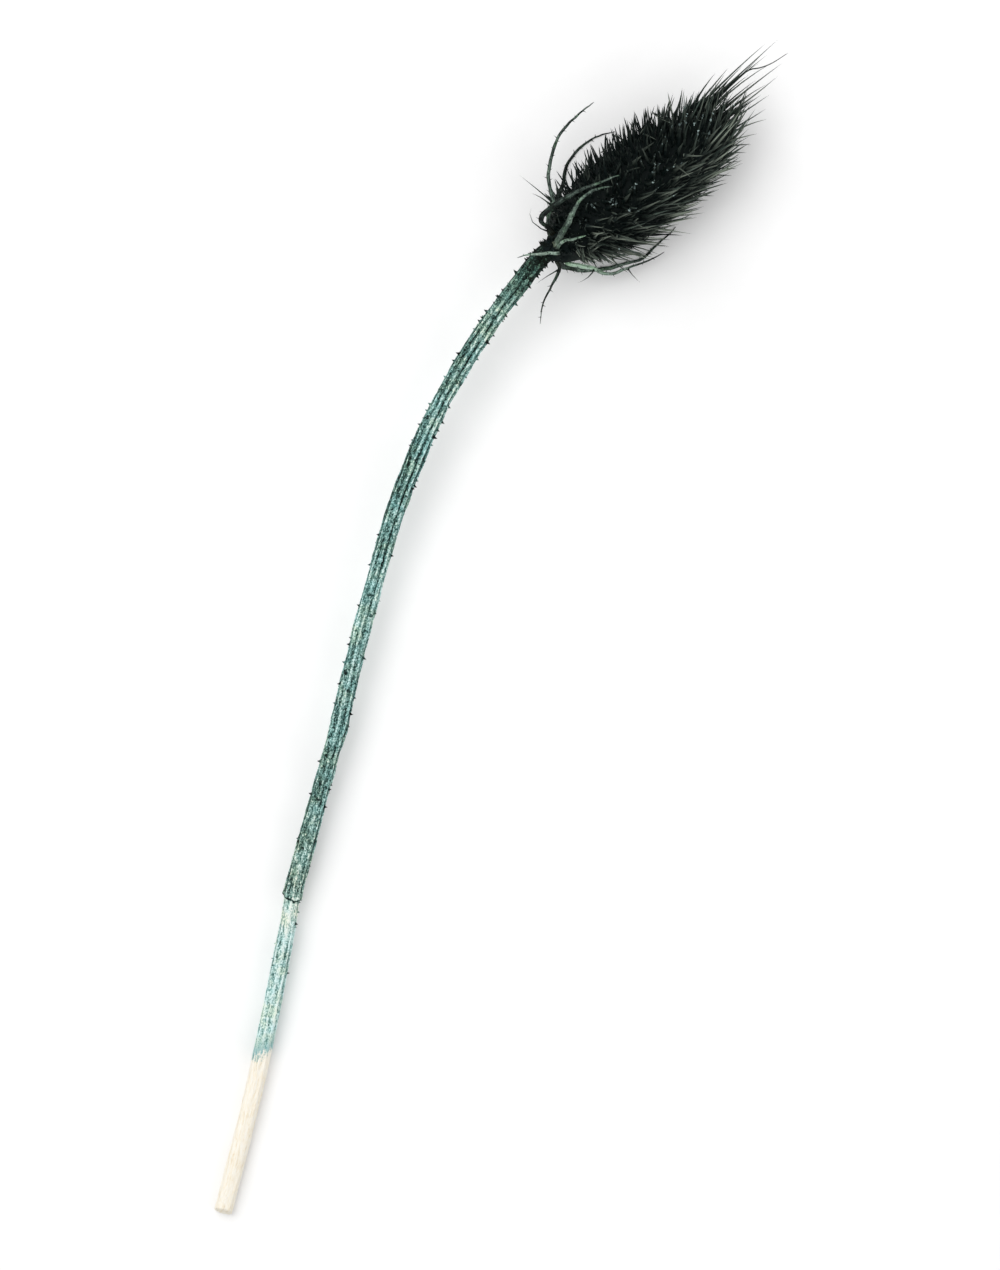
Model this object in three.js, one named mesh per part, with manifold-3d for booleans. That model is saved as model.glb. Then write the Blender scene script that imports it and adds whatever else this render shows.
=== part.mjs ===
// A dried teasel, cut and laid on a surface: a prickly ribbed stem, its spiny seed head, and the ring of
// long narrow bracts under the head. Millimetres, +Z up. The surface is z = 0, and the origin lies on it
// under the middle of the part. +Y runs from the cut end towards the head.
import * as THREE from "three";
import { mergeVertices } from "three/addons/utils/BufferGeometryUtils.js";
import Module from "manifold-3d";

const wasm = await Module();
wasm.setup();

// Driving dimensions: the head
const HEAD_BASE = new THREE.Vector3(16.5, 111.2, 17.5); // where the stem meets the head
const HEAD_HEADING = THREE.MathUtils.degToRad(36); // from +X, seen from above
const CORE_LENGTH = 60;
const CORE_RADIUS = 12.2;
const CORE_WIDEST = 24; // distance of the widest section from the base
const CORE_FOOT_RADIUS = 3; // flat foot that the stem meets
const CORE_SIDES = 20;
const CORE_RINGS = 13;
const SPINE_COUNT = 760;
const SPINE_RADIUS = 0.58;
const SPINE_SUNK = 1.2; // depth of a spine's root in the core
const SPINE_LENGTH_LOW = 4.6;
const SPINE_LENGTH_HIGH = 9;
const SPINE_BARE_BASE = 3; // no spines this close to the stem
const TUFT_COUNT = 18;
const TUFT_SWAY = 0.19; // how far the tuft leans to the left
const TUFT_LENGTH_MIN = 13;
const TUFT_LENGTH_MAX = 26;
const LEAN_UPRIGHT = THREE.MathUtils.degToRad(24); // lean towards the tip on the +left side
const LEAN_BRUSHED = THREE.MathUtils.degToRad(58); // and on the side that was brushed flat

// Driving dimensions: the stem
const STEM_RADIUS = 2.5;
const STEM_RIBS = 8;
const STEM_RIB_DEPTH = 0.22;
const STEM_STEPS = 44;
const STEM_GAP = 0.3; // between the stem's top and the head's foot
const CUT_SLANT = 0.35; // slope of the cut across the stem
const PITH_DEPTH = 1.2; // hollow of the dried pith in the cut face
const NODE_DISTANCE = 204; // of the old leaf node, from the head, along the stem
const NODE_WAIST = 0.3; // how much thinner the stem is just below the node
const NODE_WAIST_LENGTH = 14;
const SHEATH_LENGTH = 5;
const SHEATH_PROUD = 0.22; // how far the torn sheath edge stands off the stem
const PRICKLE_COUNT = 110;
const PRICKLE_LENGTH = 1.25;
const PRICKLE_RADIUS = 0.5;
const PRICKLE_FIRST = 7; // distance from the head of the first prickle
const PRICKLE_LAST = 230;

// Driving dimensions: the bracts
const BRACT_SIDES = 6;
const BRACT_STEPS = 14;
const BRACT_THICKNESS = 0.9;
const BRACT_PRICKLE_SPACING = 4.2;
const BRACT_PRICKLE_LENGTH = 1.1;
const BRACT_PRICKLE_RADIUS = 0.32;
const BRACT_CLEARANCE = 1.6; // spines that come closer to a bract's middle line are left out

const SURFACE_CLEARANCE = 0.02; // lowest spine tips stop this far above the surface

const DYED_BLACK = new THREE.MeshStandardMaterial({ color: 0x111614, roughness: 0.7, metalness: 0 });
const DYED_TEAL = new THREE.MeshStandardMaterial({ color: 0x5d8f8c, roughness: 0.75, metalness: 0 });
const DYED_GREEN = new THREE.MeshStandardMaterial({ color: 0x4a5f52, roughness: 0.7, metalness: 0 });

const UP = new THREE.Vector3(0, 0, 1);
const FORWARD = new THREE.Vector3(Math.cos(HEAD_HEADING), Math.sin(HEAD_HEADING), 0);
const LEFT = new THREE.Vector3().crossVectors(UP, FORWARD);

// Repeatable random numbers from 0 to 1
function seededRandom(seed) {
  let state = seed;
  return () => {
    state = (state + 0x6d2b79f5) | 0;
    let mixed = Math.imul(state ^ (state >>> 15), 1 | state);
    mixed = (mixed + Math.imul(mixed ^ (mixed >>> 7), 61 | mixed)) ^ mixed;
    return ((mixed ^ (mixed >>> 14)) >>> 0) / 4294967296;
  };
}

// A point given by its distance along the head from its base, to its left, and above the surface
function headPoint(along, left, height) {
  const point = HEAD_BASE.clone().addScaledVector(FORWARD, along).addScaledVector(LEFT, left);
  point.z = height;
  return point;
}

// Turns a closed three.js geometry into a solid
function solidOf(geometry) {
  geometry.deleteAttribute("normal");
  geometry.deleteAttribute("uv");
  const merged = mergeVertices(geometry, 1e-4);
  const vertProperties = merged.getAttribute("position").array;
  const triVerts = new Uint32Array(merged.index.array);
  return new wasm.Manifold(new wasm.Mesh({ numProp: 3, vertProperties, triVerts }));
}

// Joins solids into one and keeps its largest body
function fuse(solids) {
  const joined = solids.reduce((whole, piece) => whole.add(piece));
  const bodies = joined.decompose();
  return bodies.reduce((a, b) => (a.volume() > b.volume() ? a : b));
}

function meshOf(name, solid, material) {
  const { vertProperties, triVerts } = solid.getMesh();
  const geometry = new THREE.BufferGeometry();
  geometry.setAttribute("position", new THREE.BufferAttribute(vertProperties, 3));
  geometry.setIndex(new THREE.BufferAttribute(triVerts, 1));
  geometry.computeVertexNormals();
  const mesh = new THREE.Mesh(geometry, material);
  mesh.name = name;
  return mesh;
}

// Bends a unit cylinder or cone, which stands along Y, onto a path. The section gives how far a skin point
// lies across the path, above it and ahead of it; above is towards the up vector.
function bend(geometry, path, up, section) {
  const position = geometry.getAttribute("position");
  const vertex = new THREE.Vector3();
  for (let i = 0; i < position.count; i++) {
    vertex.fromBufferAttribute(position, i);
    const t = THREE.MathUtils.clamp(vertex.y + 0.5, 0, 1);
    const reach = Math.hypot(vertex.x, vertex.z);
    const angle = Math.atan2(vertex.x, vertex.z);
    const tangent = path.getTangentAt(t);
    const above = up.clone().addScaledVector(tangent, -up.dot(tangent)).normalize();
    const across = new THREE.Vector3().crossVectors(tangent, above);
    const offset = section(t, angle, reach);
    vertex.copy(path.getPointAt(t));
    vertex.addScaledVector(across, offset.across);
    vertex.addScaledVector(above, offset.above);
    vertex.addScaledVector(tangent, offset.ahead ?? 0);
    position.setXYZ(i, vertex.x, vertex.y, vertex.z);
  }
  return geometry;
}

// A straight three-sided spike from its root to its tip
function spike(root, tip, radius) {
  const path = new THREE.LineCurve3(root, tip);
  const lean = Math.abs(tip.z - root.z) > 0.9 * tip.distanceTo(root) ? FORWARD : UP;
  return bend(new THREE.ConeGeometry(1, 1, 3, 1), path, lean, (t, angle, reach) => ({
    across: reach * radius * Math.sin(angle),
    above: reach * radius * Math.cos(angle),
  }));
}

// The stem's middle line, from the cut end up to the head's foot
const stemPath = new THREE.CatmullRomCurve3([
  new THREE.Vector3(-79.6, -165.6, 2.75),
  new THREE.Vector3(-67.6, -120, 4.3),
  new THREE.Vector3(-58.6, -75, 6.4),
  new THREE.Vector3(-48, -30, 8.7),
  new THREE.Vector3(-36.8, 11.6, 11),
  new THREE.Vector3(-27, 42, 12.7),
  new THREE.Vector3(-15, 69, 14.4),
  new THREE.Vector3(-0.6, 92.2, 16.2),
  HEAD_BASE.clone().addScaledVector(FORWARD, -7),
  HEAD_BASE.clone().addScaledVector(FORWARD, -STEM_GAP),
]);
const STEM_LENGTH = stemPath.getLength();

// The stem's radius at a distance from the head, with the waist under the old leaf node
function stemRadius(distance) {
  const below = distance - NODE_DISTANCE;
  const waist = below > 0 ? NODE_WAIST * Math.exp(-((below / NODE_WAIST_LENGTH) ** 2)) : 0;
  return STEM_RADIUS - waist;
}

function stemSkin(distance, angle) {
  return stemRadius(distance) + STEM_RIB_DEPTH * Math.cos(STEM_RIBS * angle);
}

function stemBody() {
  const tube = new THREE.CylinderGeometry(1, 1, 1, 2 * STEM_RIBS, STEM_STEPS);
  const bent = bend(tube, stemPath, UP, (t, angle, reach) => {
    const radius = reach * stemSkin((1 - t) * STEM_LENGTH, angle);
    const across = radius * Math.sin(angle);
    const above = radius * Math.cos(angle);
    const cutEnd = t === 0 ? CUT_SLANT * above + (1 - reach) * PITH_DEPTH : 0;
    return { across, above, ahead: cutEnd };
  });
  return solidOf(bent);
}

// The torn end of the old leaf sheath, a short collar that flares towards the cut end
function sheath() {
  const start = 1 - NODE_DISTANCE / STEM_LENGTH;
  const end = start + SHEATH_LENGTH / STEM_LENGTH;
  const path = new THREE.LineCurve3(stemPath.getPointAt(start), stemPath.getPointAt(end));
  const ring = new THREE.CylinderGeometry(1, 1, 1, 2 * STEM_RIBS, 1);
  const bent = bend(ring, path, UP, (t, angle, reach) => {
    const proud = SHEATH_PROUD * (1 - 1.6 * t);
    const radius = reach * (STEM_RADIUS + STEM_RIB_DEPTH * Math.cos(STEM_RIBS * angle) + proud);
    return { across: radius * Math.sin(angle), above: radius * Math.cos(angle) };
  });
  return solidOf(bent);
}

// One prickle on a rib of the stem, at a distance from the head
function prickle(distance, rib, length) {
  const t = 1 - distance / STEM_LENGTH;
  const tangent = stemPath.getTangentAt(t);
  const above = UP.clone().addScaledVector(tangent, -UP.dot(tangent)).normalize();
  const across = new THREE.Vector3().crossVectors(tangent, above);
  const angle = (2 * Math.PI * rib) / STEM_RIBS;
  const out = across.multiplyScalar(Math.sin(angle)).addScaledVector(above, Math.cos(angle));
  const middle = stemPath.getPointAt(t);
  const skin = stemSkin(distance, angle);
  const root = middle.clone().addScaledVector(out, skin - PRICKLE_LENGTH / 2);
  const tip = middle.clone().addScaledVector(out, skin + length);
  return solidOf(spike(root, tip, PRICKLE_RADIUS));
}

// Prickles stand on the ribs, thickest near the head and thinning out towards the cut end
function prickles() {
  const random = seededRandom(11);
  return Array.from({ length: PRICKLE_COUNT }, (_, i) => {
    const share = (i + random()) / PRICKLE_COUNT;
    const distance = PRICKLE_FIRST + (PRICKLE_LAST - PRICKLE_FIRST) * share ** 1.7;
    const rib = (i * 3 + Math.floor(random() * 2)) % STEM_RIBS;
    return prickle(distance, rib, PRICKLE_LENGTH * (1 - 0.45 * share) * (0.7 + 0.4 * random()));
  });
}

// Radius of the egg-shaped core at a distance along it
function coreRadius(along) {
  const footReach = CORE_WIDEST / Math.sqrt(1 - (CORE_FOOT_RADIUS / CORE_RADIUS) ** 2);
  const reach = along < CORE_WIDEST ? footReach : CORE_LENGTH - CORE_WIDEST;
  return CORE_RADIUS * Math.sqrt(Math.max(0, 1 - ((along - CORE_WIDEST) / reach) ** 2));
}

function core() {
  const profile = [new THREE.Vector2(0, 0)];
  for (let i = 0; i < CORE_RINGS; i++) {
    const along = CORE_LENGTH * (1 - Math.cos((Math.PI * i) / CORE_RINGS)) / 2;
    profile.push(new THREE.Vector2(coreRadius(along), along));
  }
  profile.push(new THREE.Vector2(0, CORE_LENGTH));
  const lathe = new THREE.LatheGeometry(profile, CORE_SIDES);
  lathe.applyQuaternion(new THREE.Quaternion().setFromUnitVectors(new THREE.Vector3(0, 1, 0), FORWARD));
  lathe.translate(HEAD_BASE.x, HEAD_BASE.y, HEAD_BASE.z);
  return solidOf(lathe);
}

// Distance along the core below which a share of its skin lies
function alongAtShare(share) {
  const stretches = 240;
  const step = (CORE_LENGTH - SPINE_BARE_BASE) / stretches;
  const areas = Array.from({ length: stretches }, (_, i) => {
    const along = SPINE_BARE_BASE + step * i;
    return coreRadius(along + step / 2) * Math.hypot(step, coreRadius(along + step) - coreRadius(along));
  });
  const wanted = share * areas.reduce((sum, area) => sum + area);
  let passed = 0;
  for (let i = 0; i < stretches; i++) {
    if (passed + areas[i] > wanted) return SPINE_BARE_BASE + step * (i + (wanted - passed) / areas[i]);
    passed += areas[i];
  }
  return CORE_LENGTH;
}

// Bends a spine that would go through the surface until its tip lies on it
function keepAboveSurface(root, direction, length) {
  const lowest = (SURFACE_CLEARANCE - root.z) / length;
  if (direction.z >= lowest) return direction;
  const level = Math.hypot(direction.x, direction.y);
  const stretch = Math.sqrt(Math.max(0, 1 - lowest ** 2)) / level;
  return new THREE.Vector3(direction.x * stretch, direction.y * stretch, lowest);
}

// Root and tip of a spine that leaves the core at a distance along it and an angle round it, from the left.
// The spines of the brushed side lie flatter and are longer; those of the tip sway to the left.
function spineLine(along, angle, size, random) {
  const out = LEFT.clone().multiplyScalar(Math.cos(angle)).addScaledVector(UP, Math.sin(angle));
  const slope = (coreRadius(along + 0.2) - coreRadius(along - 0.2)) / 0.4;
  const normal = out.clone().addScaledVector(FORWARD, -THREE.MathUtils.clamp(slope, -3, 0.6)).normalize();
  const brushed = (1 - Math.cos(angle)) / 2;
  const lean = THREE.MathUtils.lerp(LEAN_UPRIGHT, LEAN_BRUSHED, brushed) * Math.min(1, 0.4 + along / 24);
  const length = size * THREE.MathUtils.lerp(0.82, 1.12, brushed);
  const skinwards = FORWARD.clone().addScaledVector(normal, -FORWARD.dot(normal)).normalize();
  const direction = normal.multiplyScalar(Math.cos(lean)).addScaledVector(skinwards, Math.sin(lean));
  direction.add(new THREE.Vector3(random() - 0.5, random() - 0.5, random() - 0.5).multiplyScalar(0.28));
  direction.addScaledVector(LEFT, TUFT_SWAY * THREE.MathUtils.smoothstep(along, 0.6 * CORE_LENGTH, CORE_LENGTH));
  direction.normalize();
  const skin = headPoint(along, 0, HEAD_BASE.z).addScaledVector(out, coreRadius(along));
  const clear = keepAboveSurface(skin, direction, length);
  const root = skin.clone().addScaledVector(clear, -SPINE_SUNK);
  const tip = skin.clone().addScaledVector(clear, length);
  return { root, tip };
}

// Spines in a spiral, evenly over the whole skin of the core, longer towards its tip
function spines() {
  const random = seededRandom(23);
  const turn = Math.PI * (3 - Math.sqrt(5));
  return Array.from({ length: SPINE_COUNT }, (_, i) => {
    const along = alongAtShare((i + 0.5) / SPINE_COUNT);
    const growth = THREE.MathUtils.smoothstep(along, 0, CORE_LENGTH);
    const length = THREE.MathUtils.lerp(SPINE_LENGTH_LOW, SPINE_LENGTH_HIGH, growth);
    return spineLine(along, i * turn, length * (0.85 + 0.3 * random()), random);
  });
}

// The tuft of long spines round the tip
function tuft() {
  const random = seededRandom(37);
  const turn = Math.PI * (3 - Math.sqrt(5));
  return Array.from({ length: TUFT_COUNT }, (_, i) => {
    const along = CORE_LENGTH - 0.4 - 2.6 * (i / TUFT_COUNT);
    const length = THREE.MathUtils.lerp(TUFT_LENGTH_MAX, TUFT_LENGTH_MIN, i / TUFT_COUNT);
    return spineLine(along, i * turn, length * (0.9 + 0.1 * random()), random);
  });
}

// The bracts, clockwise seen from the tip of the head. Each is a path from its root beside the stem's top
// to its tip, as distances along the head, to its left and above the surface. Two lie on the surface.
const BACK_OVER_HEAD = UP.clone().sub(FORWARD).normalize();
const OVER_STEM = UP.clone().add(FORWARD).normalize();
const BRACTS = [
  {
    name: "bract_left_long",
    path: [
      [-2, 3.2, 17.9], [1, 7.2, 18.8], [6.2, 10.8, 18.4], [8.2, 16, 17.4],
      [12.3, 20.9, 16.2], [18.2, 24.8, 15], [25, 26.7, 14.2], [32, 27, 14],
    ],
    up: UP,
    width: 1.4,
  },
  {
    name: "bract_left_resting",
    path: [
      [-2.6, 2.6, 15.6], [-1.4, 6.6, 9], [3, 9.8, 2.2], [7.5, 11.6, 0.2], [11.4, 13.4, 0],
      [15, 16, 0], [20.4, 18.4, 0], [27.5, 18.7, 0], [33, 16.7, 0],
    ],
    up: UP,
    width: 1.9,
  },
  {
    name: "bract_top_left",
    path: [
      [-2, 2.2, 19.8], [-1.2, 6, 23.4], [0.6, 8.6, 25.8], [4.8, 9.8, 27.4],
      [9, 9.5, 29.2], [15.5, 8.2, 32.2], [21, 6.6, 34.1], [24.9, 5.1, 35],
    ],
    up: BACK_OVER_HEAD,
    width: 1.8,
  },
  {
    name: "bract_top_broad",
    path: [
      [-2, 0.2, 20.7], [0, 0.9, 24.4], [5.2, 3, 28.8],
      [10.7, 5.6, 32.6], [17, 6.6, 35],
    ],
    up: BACK_OVER_HEAD,
    width: 2.6,
  },
  {
    name: "bract_top_short",
    path: [
      [-2, -1.9, 20.1], [-0.4, -1.9, 24.4],
      [1.9, -1.7, 27], [4.6, -2.2, 29.2], [7.5, -2.9, 31],
    ],
    up: BACK_OVER_HEAD,
    width: 1.5,
  },
  {
    name: "bract_bent_back",
    path: [
      [-4.2, -1.2, 20.5], [-4, -1.8, 23.8], [-5, -0.6, 25.6],
      [-7.2, 1.2, 25.6], [-9.4, 2.5, 25], [-11.4, 3.3, 24.2],
    ],
    up: OVER_STEM,
    width: 1.7,
  },
  {
    name: "bract_right_pale",
    path: [
      [-2, -3.2, 17.5], [-1, -6.4, 16.8], [1, -8.4, 15], [4.1, -10.8, 12], [6.4, -14.2, 9.2],
      [9.2, -15.8, 8], [12.2, -16.8, 7], [18.5, -18.4, 5.6], [23.8, -18.9, 5],
    ],
    up: UP,
    width: 1.7,
  },
  {
    name: "bract_right_resting",
    path: [
      [-2.6, -2.6, 15.5], [-2, -5.6, 9.5], [0.8, -8.4, 3], [4, -10.8, 0.3], [7.2, -12.7, 0],
      [12.2, -14.8, 0], [18, -16.6, 0], [25, -16.1, 0], [31, -14.9, 0],
    ],
    up: UP,
    width: 1.9,
  },
  {
    name: "bract_right_thin",
    path: [
      [-3.4, -3.1, 16.6], [-4.2, -6, 15.2], [-6.9, -7.8, 13.6],
      [-12.4, -10.6, 12], [-17.1, -14.8, 11],
    ],
    up: UP,
    width: 1.1,
  },
];

function bractPath(bract) {
  return new THREE.CatmullRomCurve3(bract.path.map(([along, left, height]) => headPoint(along, left, height)));
}

// A narrow blade with a flat underside on its path, tapering to a fine tip
function bractBody(bract) {
  const blade = new THREE.CylinderGeometry(1, 1, 1, BRACT_SIDES, BRACT_STEPS);
  const bent = bend(blade, bractPath(bract), bract.up, (t, angle, reach) => {
    const taper = 0.16 + 0.84 * Math.sqrt(1 - t) * Math.min(1, 0.6 + 3 * t);
    const across = reach * (bract.width / 2) * taper * Math.sin(angle + Math.PI / BRACT_SIDES);
    const rise = Math.max(0, Math.cos(angle + Math.PI / BRACT_SIDES));
    return { across, above: reach * rise * (BRACT_THICKNESS - 0.3 * t) };
  });
  return solidOf(bent);
}

// Small prickles along both edges and the back of a bract, on the stretch that stands clear
function bractPrickles(bract, seed) {
  const random = seededRandom(seed);
  const path = bractPath(bract);
  const count = Math.floor((0.7 * path.getLength()) / BRACT_PRICKLE_SPACING);
  return Array.from({ length: count }, (_, i) => {
    const t = 0.2 + (0.7 * (i + random())) / count;
    const tangent = path.getTangentAt(t);
    const above = bract.up.clone().addScaledVector(tangent, -bract.up.dot(tangent)).normalize();
    const across = new THREE.Vector3().crossVectors(tangent, above);
    const out = [across, above, across.clone().negate()][i % 3].clone().addScaledVector(tangent, 0.3).normalize();
    const root = path.getPointAt(t).addScaledVector(above, BRACT_THICKNESS / 3);
    const length = bract.width / 3 + BRACT_PRICKLE_LENGTH * (0.7 + 0.4 * random());
    return solidOf(spike(root, root.clone().addScaledVector(out, length), BRACT_PRICKLE_RADIUS));
  });
}

const bractLines = BRACTS.map((bract) => bractPath(bract).getSpacedPoints(3 * BRACT_STEPS));

// Whether a spine stays clear of every bract
function clearOfBracts({ root, tip }) {
  const spine = new THREE.Line3(root, tip);
  const nearest = new THREE.Vector3();
  return bractLines.every((line) =>
    line.every((point) => spine.closestPointToPoint(point, true, nearest).distanceTo(point) > BRACT_CLEARANCE),
  );
}

function head() {
  const lines = [...spines(), ...tuft()].filter(clearOfBracts);
  return fuse([core(), ...lines.map(({ root, tip }) => solidOf(spike(root, tip, SPINE_RADIUS)))]);
}

const teasel = new THREE.Group();
teasel.add(meshOf("stem", fuse([stemBody(), sheath(), ...prickles()]), DYED_TEAL));
teasel.add(meshOf("head", head(), DYED_BLACK));
BRACTS.forEach((bract, i) => {
  teasel.add(meshOf(bract.name, fuse([bractBody(bract), ...bractPrickles(bract, 51 + i)]), DYED_GREEN));
});

export default teasel;
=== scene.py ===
"""A dried teasel on its cut stem, laid on a pale floor and seen from above."""
import math
from types import SimpleNamespace

import bpy
import numpy as np
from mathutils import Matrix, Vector


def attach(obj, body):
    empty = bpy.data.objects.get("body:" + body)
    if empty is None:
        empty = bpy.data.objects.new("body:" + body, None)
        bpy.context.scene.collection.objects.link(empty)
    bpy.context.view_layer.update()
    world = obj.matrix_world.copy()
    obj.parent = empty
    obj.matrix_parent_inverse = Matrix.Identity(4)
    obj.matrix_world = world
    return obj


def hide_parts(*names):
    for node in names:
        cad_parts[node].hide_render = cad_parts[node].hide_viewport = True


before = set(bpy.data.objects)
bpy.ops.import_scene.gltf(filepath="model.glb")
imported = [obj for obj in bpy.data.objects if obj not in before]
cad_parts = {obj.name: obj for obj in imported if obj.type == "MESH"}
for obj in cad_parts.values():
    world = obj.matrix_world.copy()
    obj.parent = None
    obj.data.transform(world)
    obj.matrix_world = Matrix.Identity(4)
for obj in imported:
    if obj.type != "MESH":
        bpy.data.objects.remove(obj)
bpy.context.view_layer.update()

# Shapes are worked out in millimetres, and their meshes are in metres
MM = 0.001

# The head's place and heading, as in the part's source
HEAD_BASE = np.array([16.5, 111.2, 17.5])
HEAD_HEADING = math.radians(36)
UP = np.array([0.0, 0.0, 1.0])
FORWARD = np.array([math.cos(HEAD_HEADING), math.sin(HEAD_HEADING), 0.0])
LEFT = np.cross(UP, FORWARD)
GOLDEN_TURN = math.pi * (3 - math.sqrt(5))

# Seeds of the random draws
STEM_SEED = 5
SHEATH_SEED = 8
CUT_SEED = 9
PRICKLE_SEED = 17
SPINE_SEED = 23
BRISTLE_SEED = 31
TUFT_SEED = 37
CORE_SEED = 41
SCRAP_SEED = 43
FIRST_BRACT_SEED = 60


# Plain helpers

def unit(v):
    """Vectors at length one."""
    return v / np.linalg.norm(v, axis=-1, keepdims=True)


def smoothstep(x, low, high):
    """From 0 at low to 1 at high, with a soft start and end."""
    s = np.clip((x - low) / (high - low), 0, 1)
    return s * s * (3 - 2 * s)


def ease(x, low, high):
    """The smoothstep of one number."""
    return float(smoothstep(x, low, high))


def fade(x, low, high):
    """From 1 at low to 0 at high, for one number."""
    return 1 - ease(x, low, high)


def lerp(a, b, s):
    return a + (b - a) * s


def turns(sides):
    """Angles once round, evenly spaced."""
    return 2 * math.pi * np.arange(sides) / sides


def bowed(root, tip, bow, share):
    """Points between root and tip, pushed aside by the bow in the middle."""
    return root + (tip - root) * share + bow * 4 * share * (1 - share)


def head_point(along, left, height):
    """A point by its distance along the head, to its left, and above the floor."""
    point = HEAD_BASE + FORWARD * along + LEFT * left
    point[2] = height
    return point


def axis_point(along, left=0.0, rise=0.0):
    """As head_point, but above the head's axis."""
    return HEAD_BASE + FORWARD * along + LEFT * left + UP * rise


def ring_noise(angle, along, cells_round, cell_length, rng):
    """Smooth noise from -1 to 1 on a tube, closed round it."""
    rows = int(np.max(along) / cell_length) + 3
    grid = rng.uniform(-1, 1, (rows, cells_round))
    u = (angle / (2 * math.pi)) % 1 * cells_round
    v = along / cell_length
    column = np.floor(u).astype(int)
    row = np.floor(v).astype(int)
    here = column % cells_round
    beside = (column + 1) % cells_round
    across = smoothstep(u - column, 0, 1)
    low = lerp(grid[row, here], grid[row, beside], across)
    high = lerp(grid[row + 1, here], grid[row + 1, beside], across)
    return lerp(low, high, smoothstep(v - row, 0, 1))


def noise_sum(angle, along, layers, rng):
    """The sum of noises given by strength, cells round the tube and cell length."""
    return sum(strength * ring_noise(angle, along, cells, length, rng) for strength, cells, length in layers)


def line_noise(along, layers, rng):
    """The sum of noises along a line, given by strength and cell length."""
    level = np.zeros_like(along)
    return noise_sum(level, along, [(strength, 1, length) for strength, length in layers], rng)


class Path:
    """A smooth line through points, read by share of its length."""

    SHORTEST_SPAN = 1e-4
    TANGENT_REACH = 0.4

    def __init__(self, points, per_span=40):
        points = np.array(points, float)
        led_on = np.vstack([2 * points[0] - points[1], points, 2 * points[-1] - points[-2]])
        share = np.linspace(0, 1, per_span, endpoint=False)[:, None]
        spans = [self.span(*four, share) for four in zip(led_on, led_on[1:], led_on[2:], led_on[3:])]
        self.line = np.vstack([*spans, points[-1:]])
        steps = np.linalg.norm(np.diff(self.line, axis=0), axis=1)
        self.reach = np.concatenate([[0], np.cumsum(steps)])
        self.length = self.reach[-1]

    def span(self, a, b, c, d, share):
        """Points from b to c of a centripetal curve."""
        spans = (b - a, c - b, d - c)
        before, middle, after = (max(np.linalg.norm(v) ** 0.5, self.SHORTEST_SPAN) for v in spans)
        out = ((b - a) / before - (c - a) / (before + middle) + (c - b) / middle) * middle
        into = ((c - b) / middle - (d - b) / (middle + after) + (d - c) / after) * middle
        square = 3 * (c - b) - 2 * out - into
        cube = 2 * (b - c) + out + into
        return b + out * share + square * share**2 + cube * share**3

    def point(self, share):
        at = np.asarray(share, float) * self.length
        return np.stack([np.interp(at, self.reach, self.line[:, axis]) for axis in range(3)], axis=-1)

    def frame(self, share, up):
        """Points, tangents, and the directions above and across the line."""
        share = np.asarray(share, float)
        step = self.TANGENT_REACH / self.length
        tangent = unit(self.point(np.minimum(share + step, 1)) - self.point(np.maximum(share - step, 0)))
        above = unit(up - tangent * np.sum(tangent * up, axis=-1, keepdims=True))
        return self.point(share), tangent, above, np.cross(tangent, above)


def add_object(name, data):
    obj = bpy.data.objects.new(name, data)
    bpy.context.scene.collection.objects.link(obj)
    return obj


class Skin:
    """Points and faces of one mesh, with named values at its points."""

    def __init__(self):
        self.points = []
        self.faces = []
        self.values = {}
        self.count = 0

    def loft(self, rings, start, tip, **values):
        """Skins a stack of rings, closed by fans to a start point and a tip, which take the first value."""
        steps, sides = rings.shape[:2]
        ring_points = steps * sides
        last = ring_points - sides
        here = np.arange(sides)
        beside = (here + 1) % sides
        faces = []
        for low in range(0, last, sides):
            high = low + sides
            faces.extend(zip(low + here, low + beside, high + beside, high + here))
        faces.extend((ring_points, b, a) for a, b in zip(here, beside))
        faces.extend((ring_points + 1, last + a, last + b) for a, b in zip(here, beside))
        self.faces.extend(tuple(int(corner) + self.count for corner in face) for face in faces)
        self.points.append(np.vstack([rings.reshape(-1, 3), start, tip]))
        self.count += ring_points + 2
        for name, value in values.items():
            value = np.asarray(value, float)
            if value.ndim == 1:
                value = value[:, None]
            spread = np.broadcast_to(value, (steps, sides)).reshape(-1)
            self.values.setdefault(name, []).append(np.append(spread, [spread[0], spread[0]]))

    def piece(self, name, material, node, slot):
        """Puts the mesh into the scene, in place of a node of the frame."""
        mesh = bpy.data.meshes.new(name)
        mesh.from_pydata(np.vstack(self.points) * MM, [], self.faces)
        for value_name, parts in self.values.items():
            stored = mesh.attributes.new(value_name, "FLOAT", "POINT")
            stored.data.foreach_set("value", np.concatenate(parts))
        mesh.polygons.foreach_set("use_smooth", [True] * len(mesh.polygons))
        mesh.materials.append(material)
        mesh.validate()
        obj = add_object(name, mesh)
        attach(obj, "root")
        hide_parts(node)


SPIKE_STEPS = np.array([0.0, 0.22, 0.5, 0.78])
SPIKE_TAPER = (0.78, 0.48, 0.22)
SPIKE_ASIDE = (0.31, 0.52, 0.79)  # a direction that no spike runs along


def spike(skin, root, tip, bow, radius, sides, flare, **values):
    """A thorn with a flared foot, bowed sideways by a vector at its middle."""
    widths = radius * np.array([flare, *SPIKE_TAPER])
    axis = unit(tip - root)
    side = unit(np.cross(axis, SPIKE_ASIDE))
    other = np.cross(axis, side)
    turn = turns(sides)[:, None]
    circle = np.cos(turn) * side + np.sin(turn) * other
    middle = bowed(root, tip, bow, SPIKE_STEPS[:, None])
    skin.loft(middle[:, None] + circle[None] * widths[:, None, None], root, tip, **values)


# Materials

MIX_INPUTS = (0, 6, 7)  # a mix node's sockets for the factor and the two colours
MIX_RESULT = 2


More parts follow.
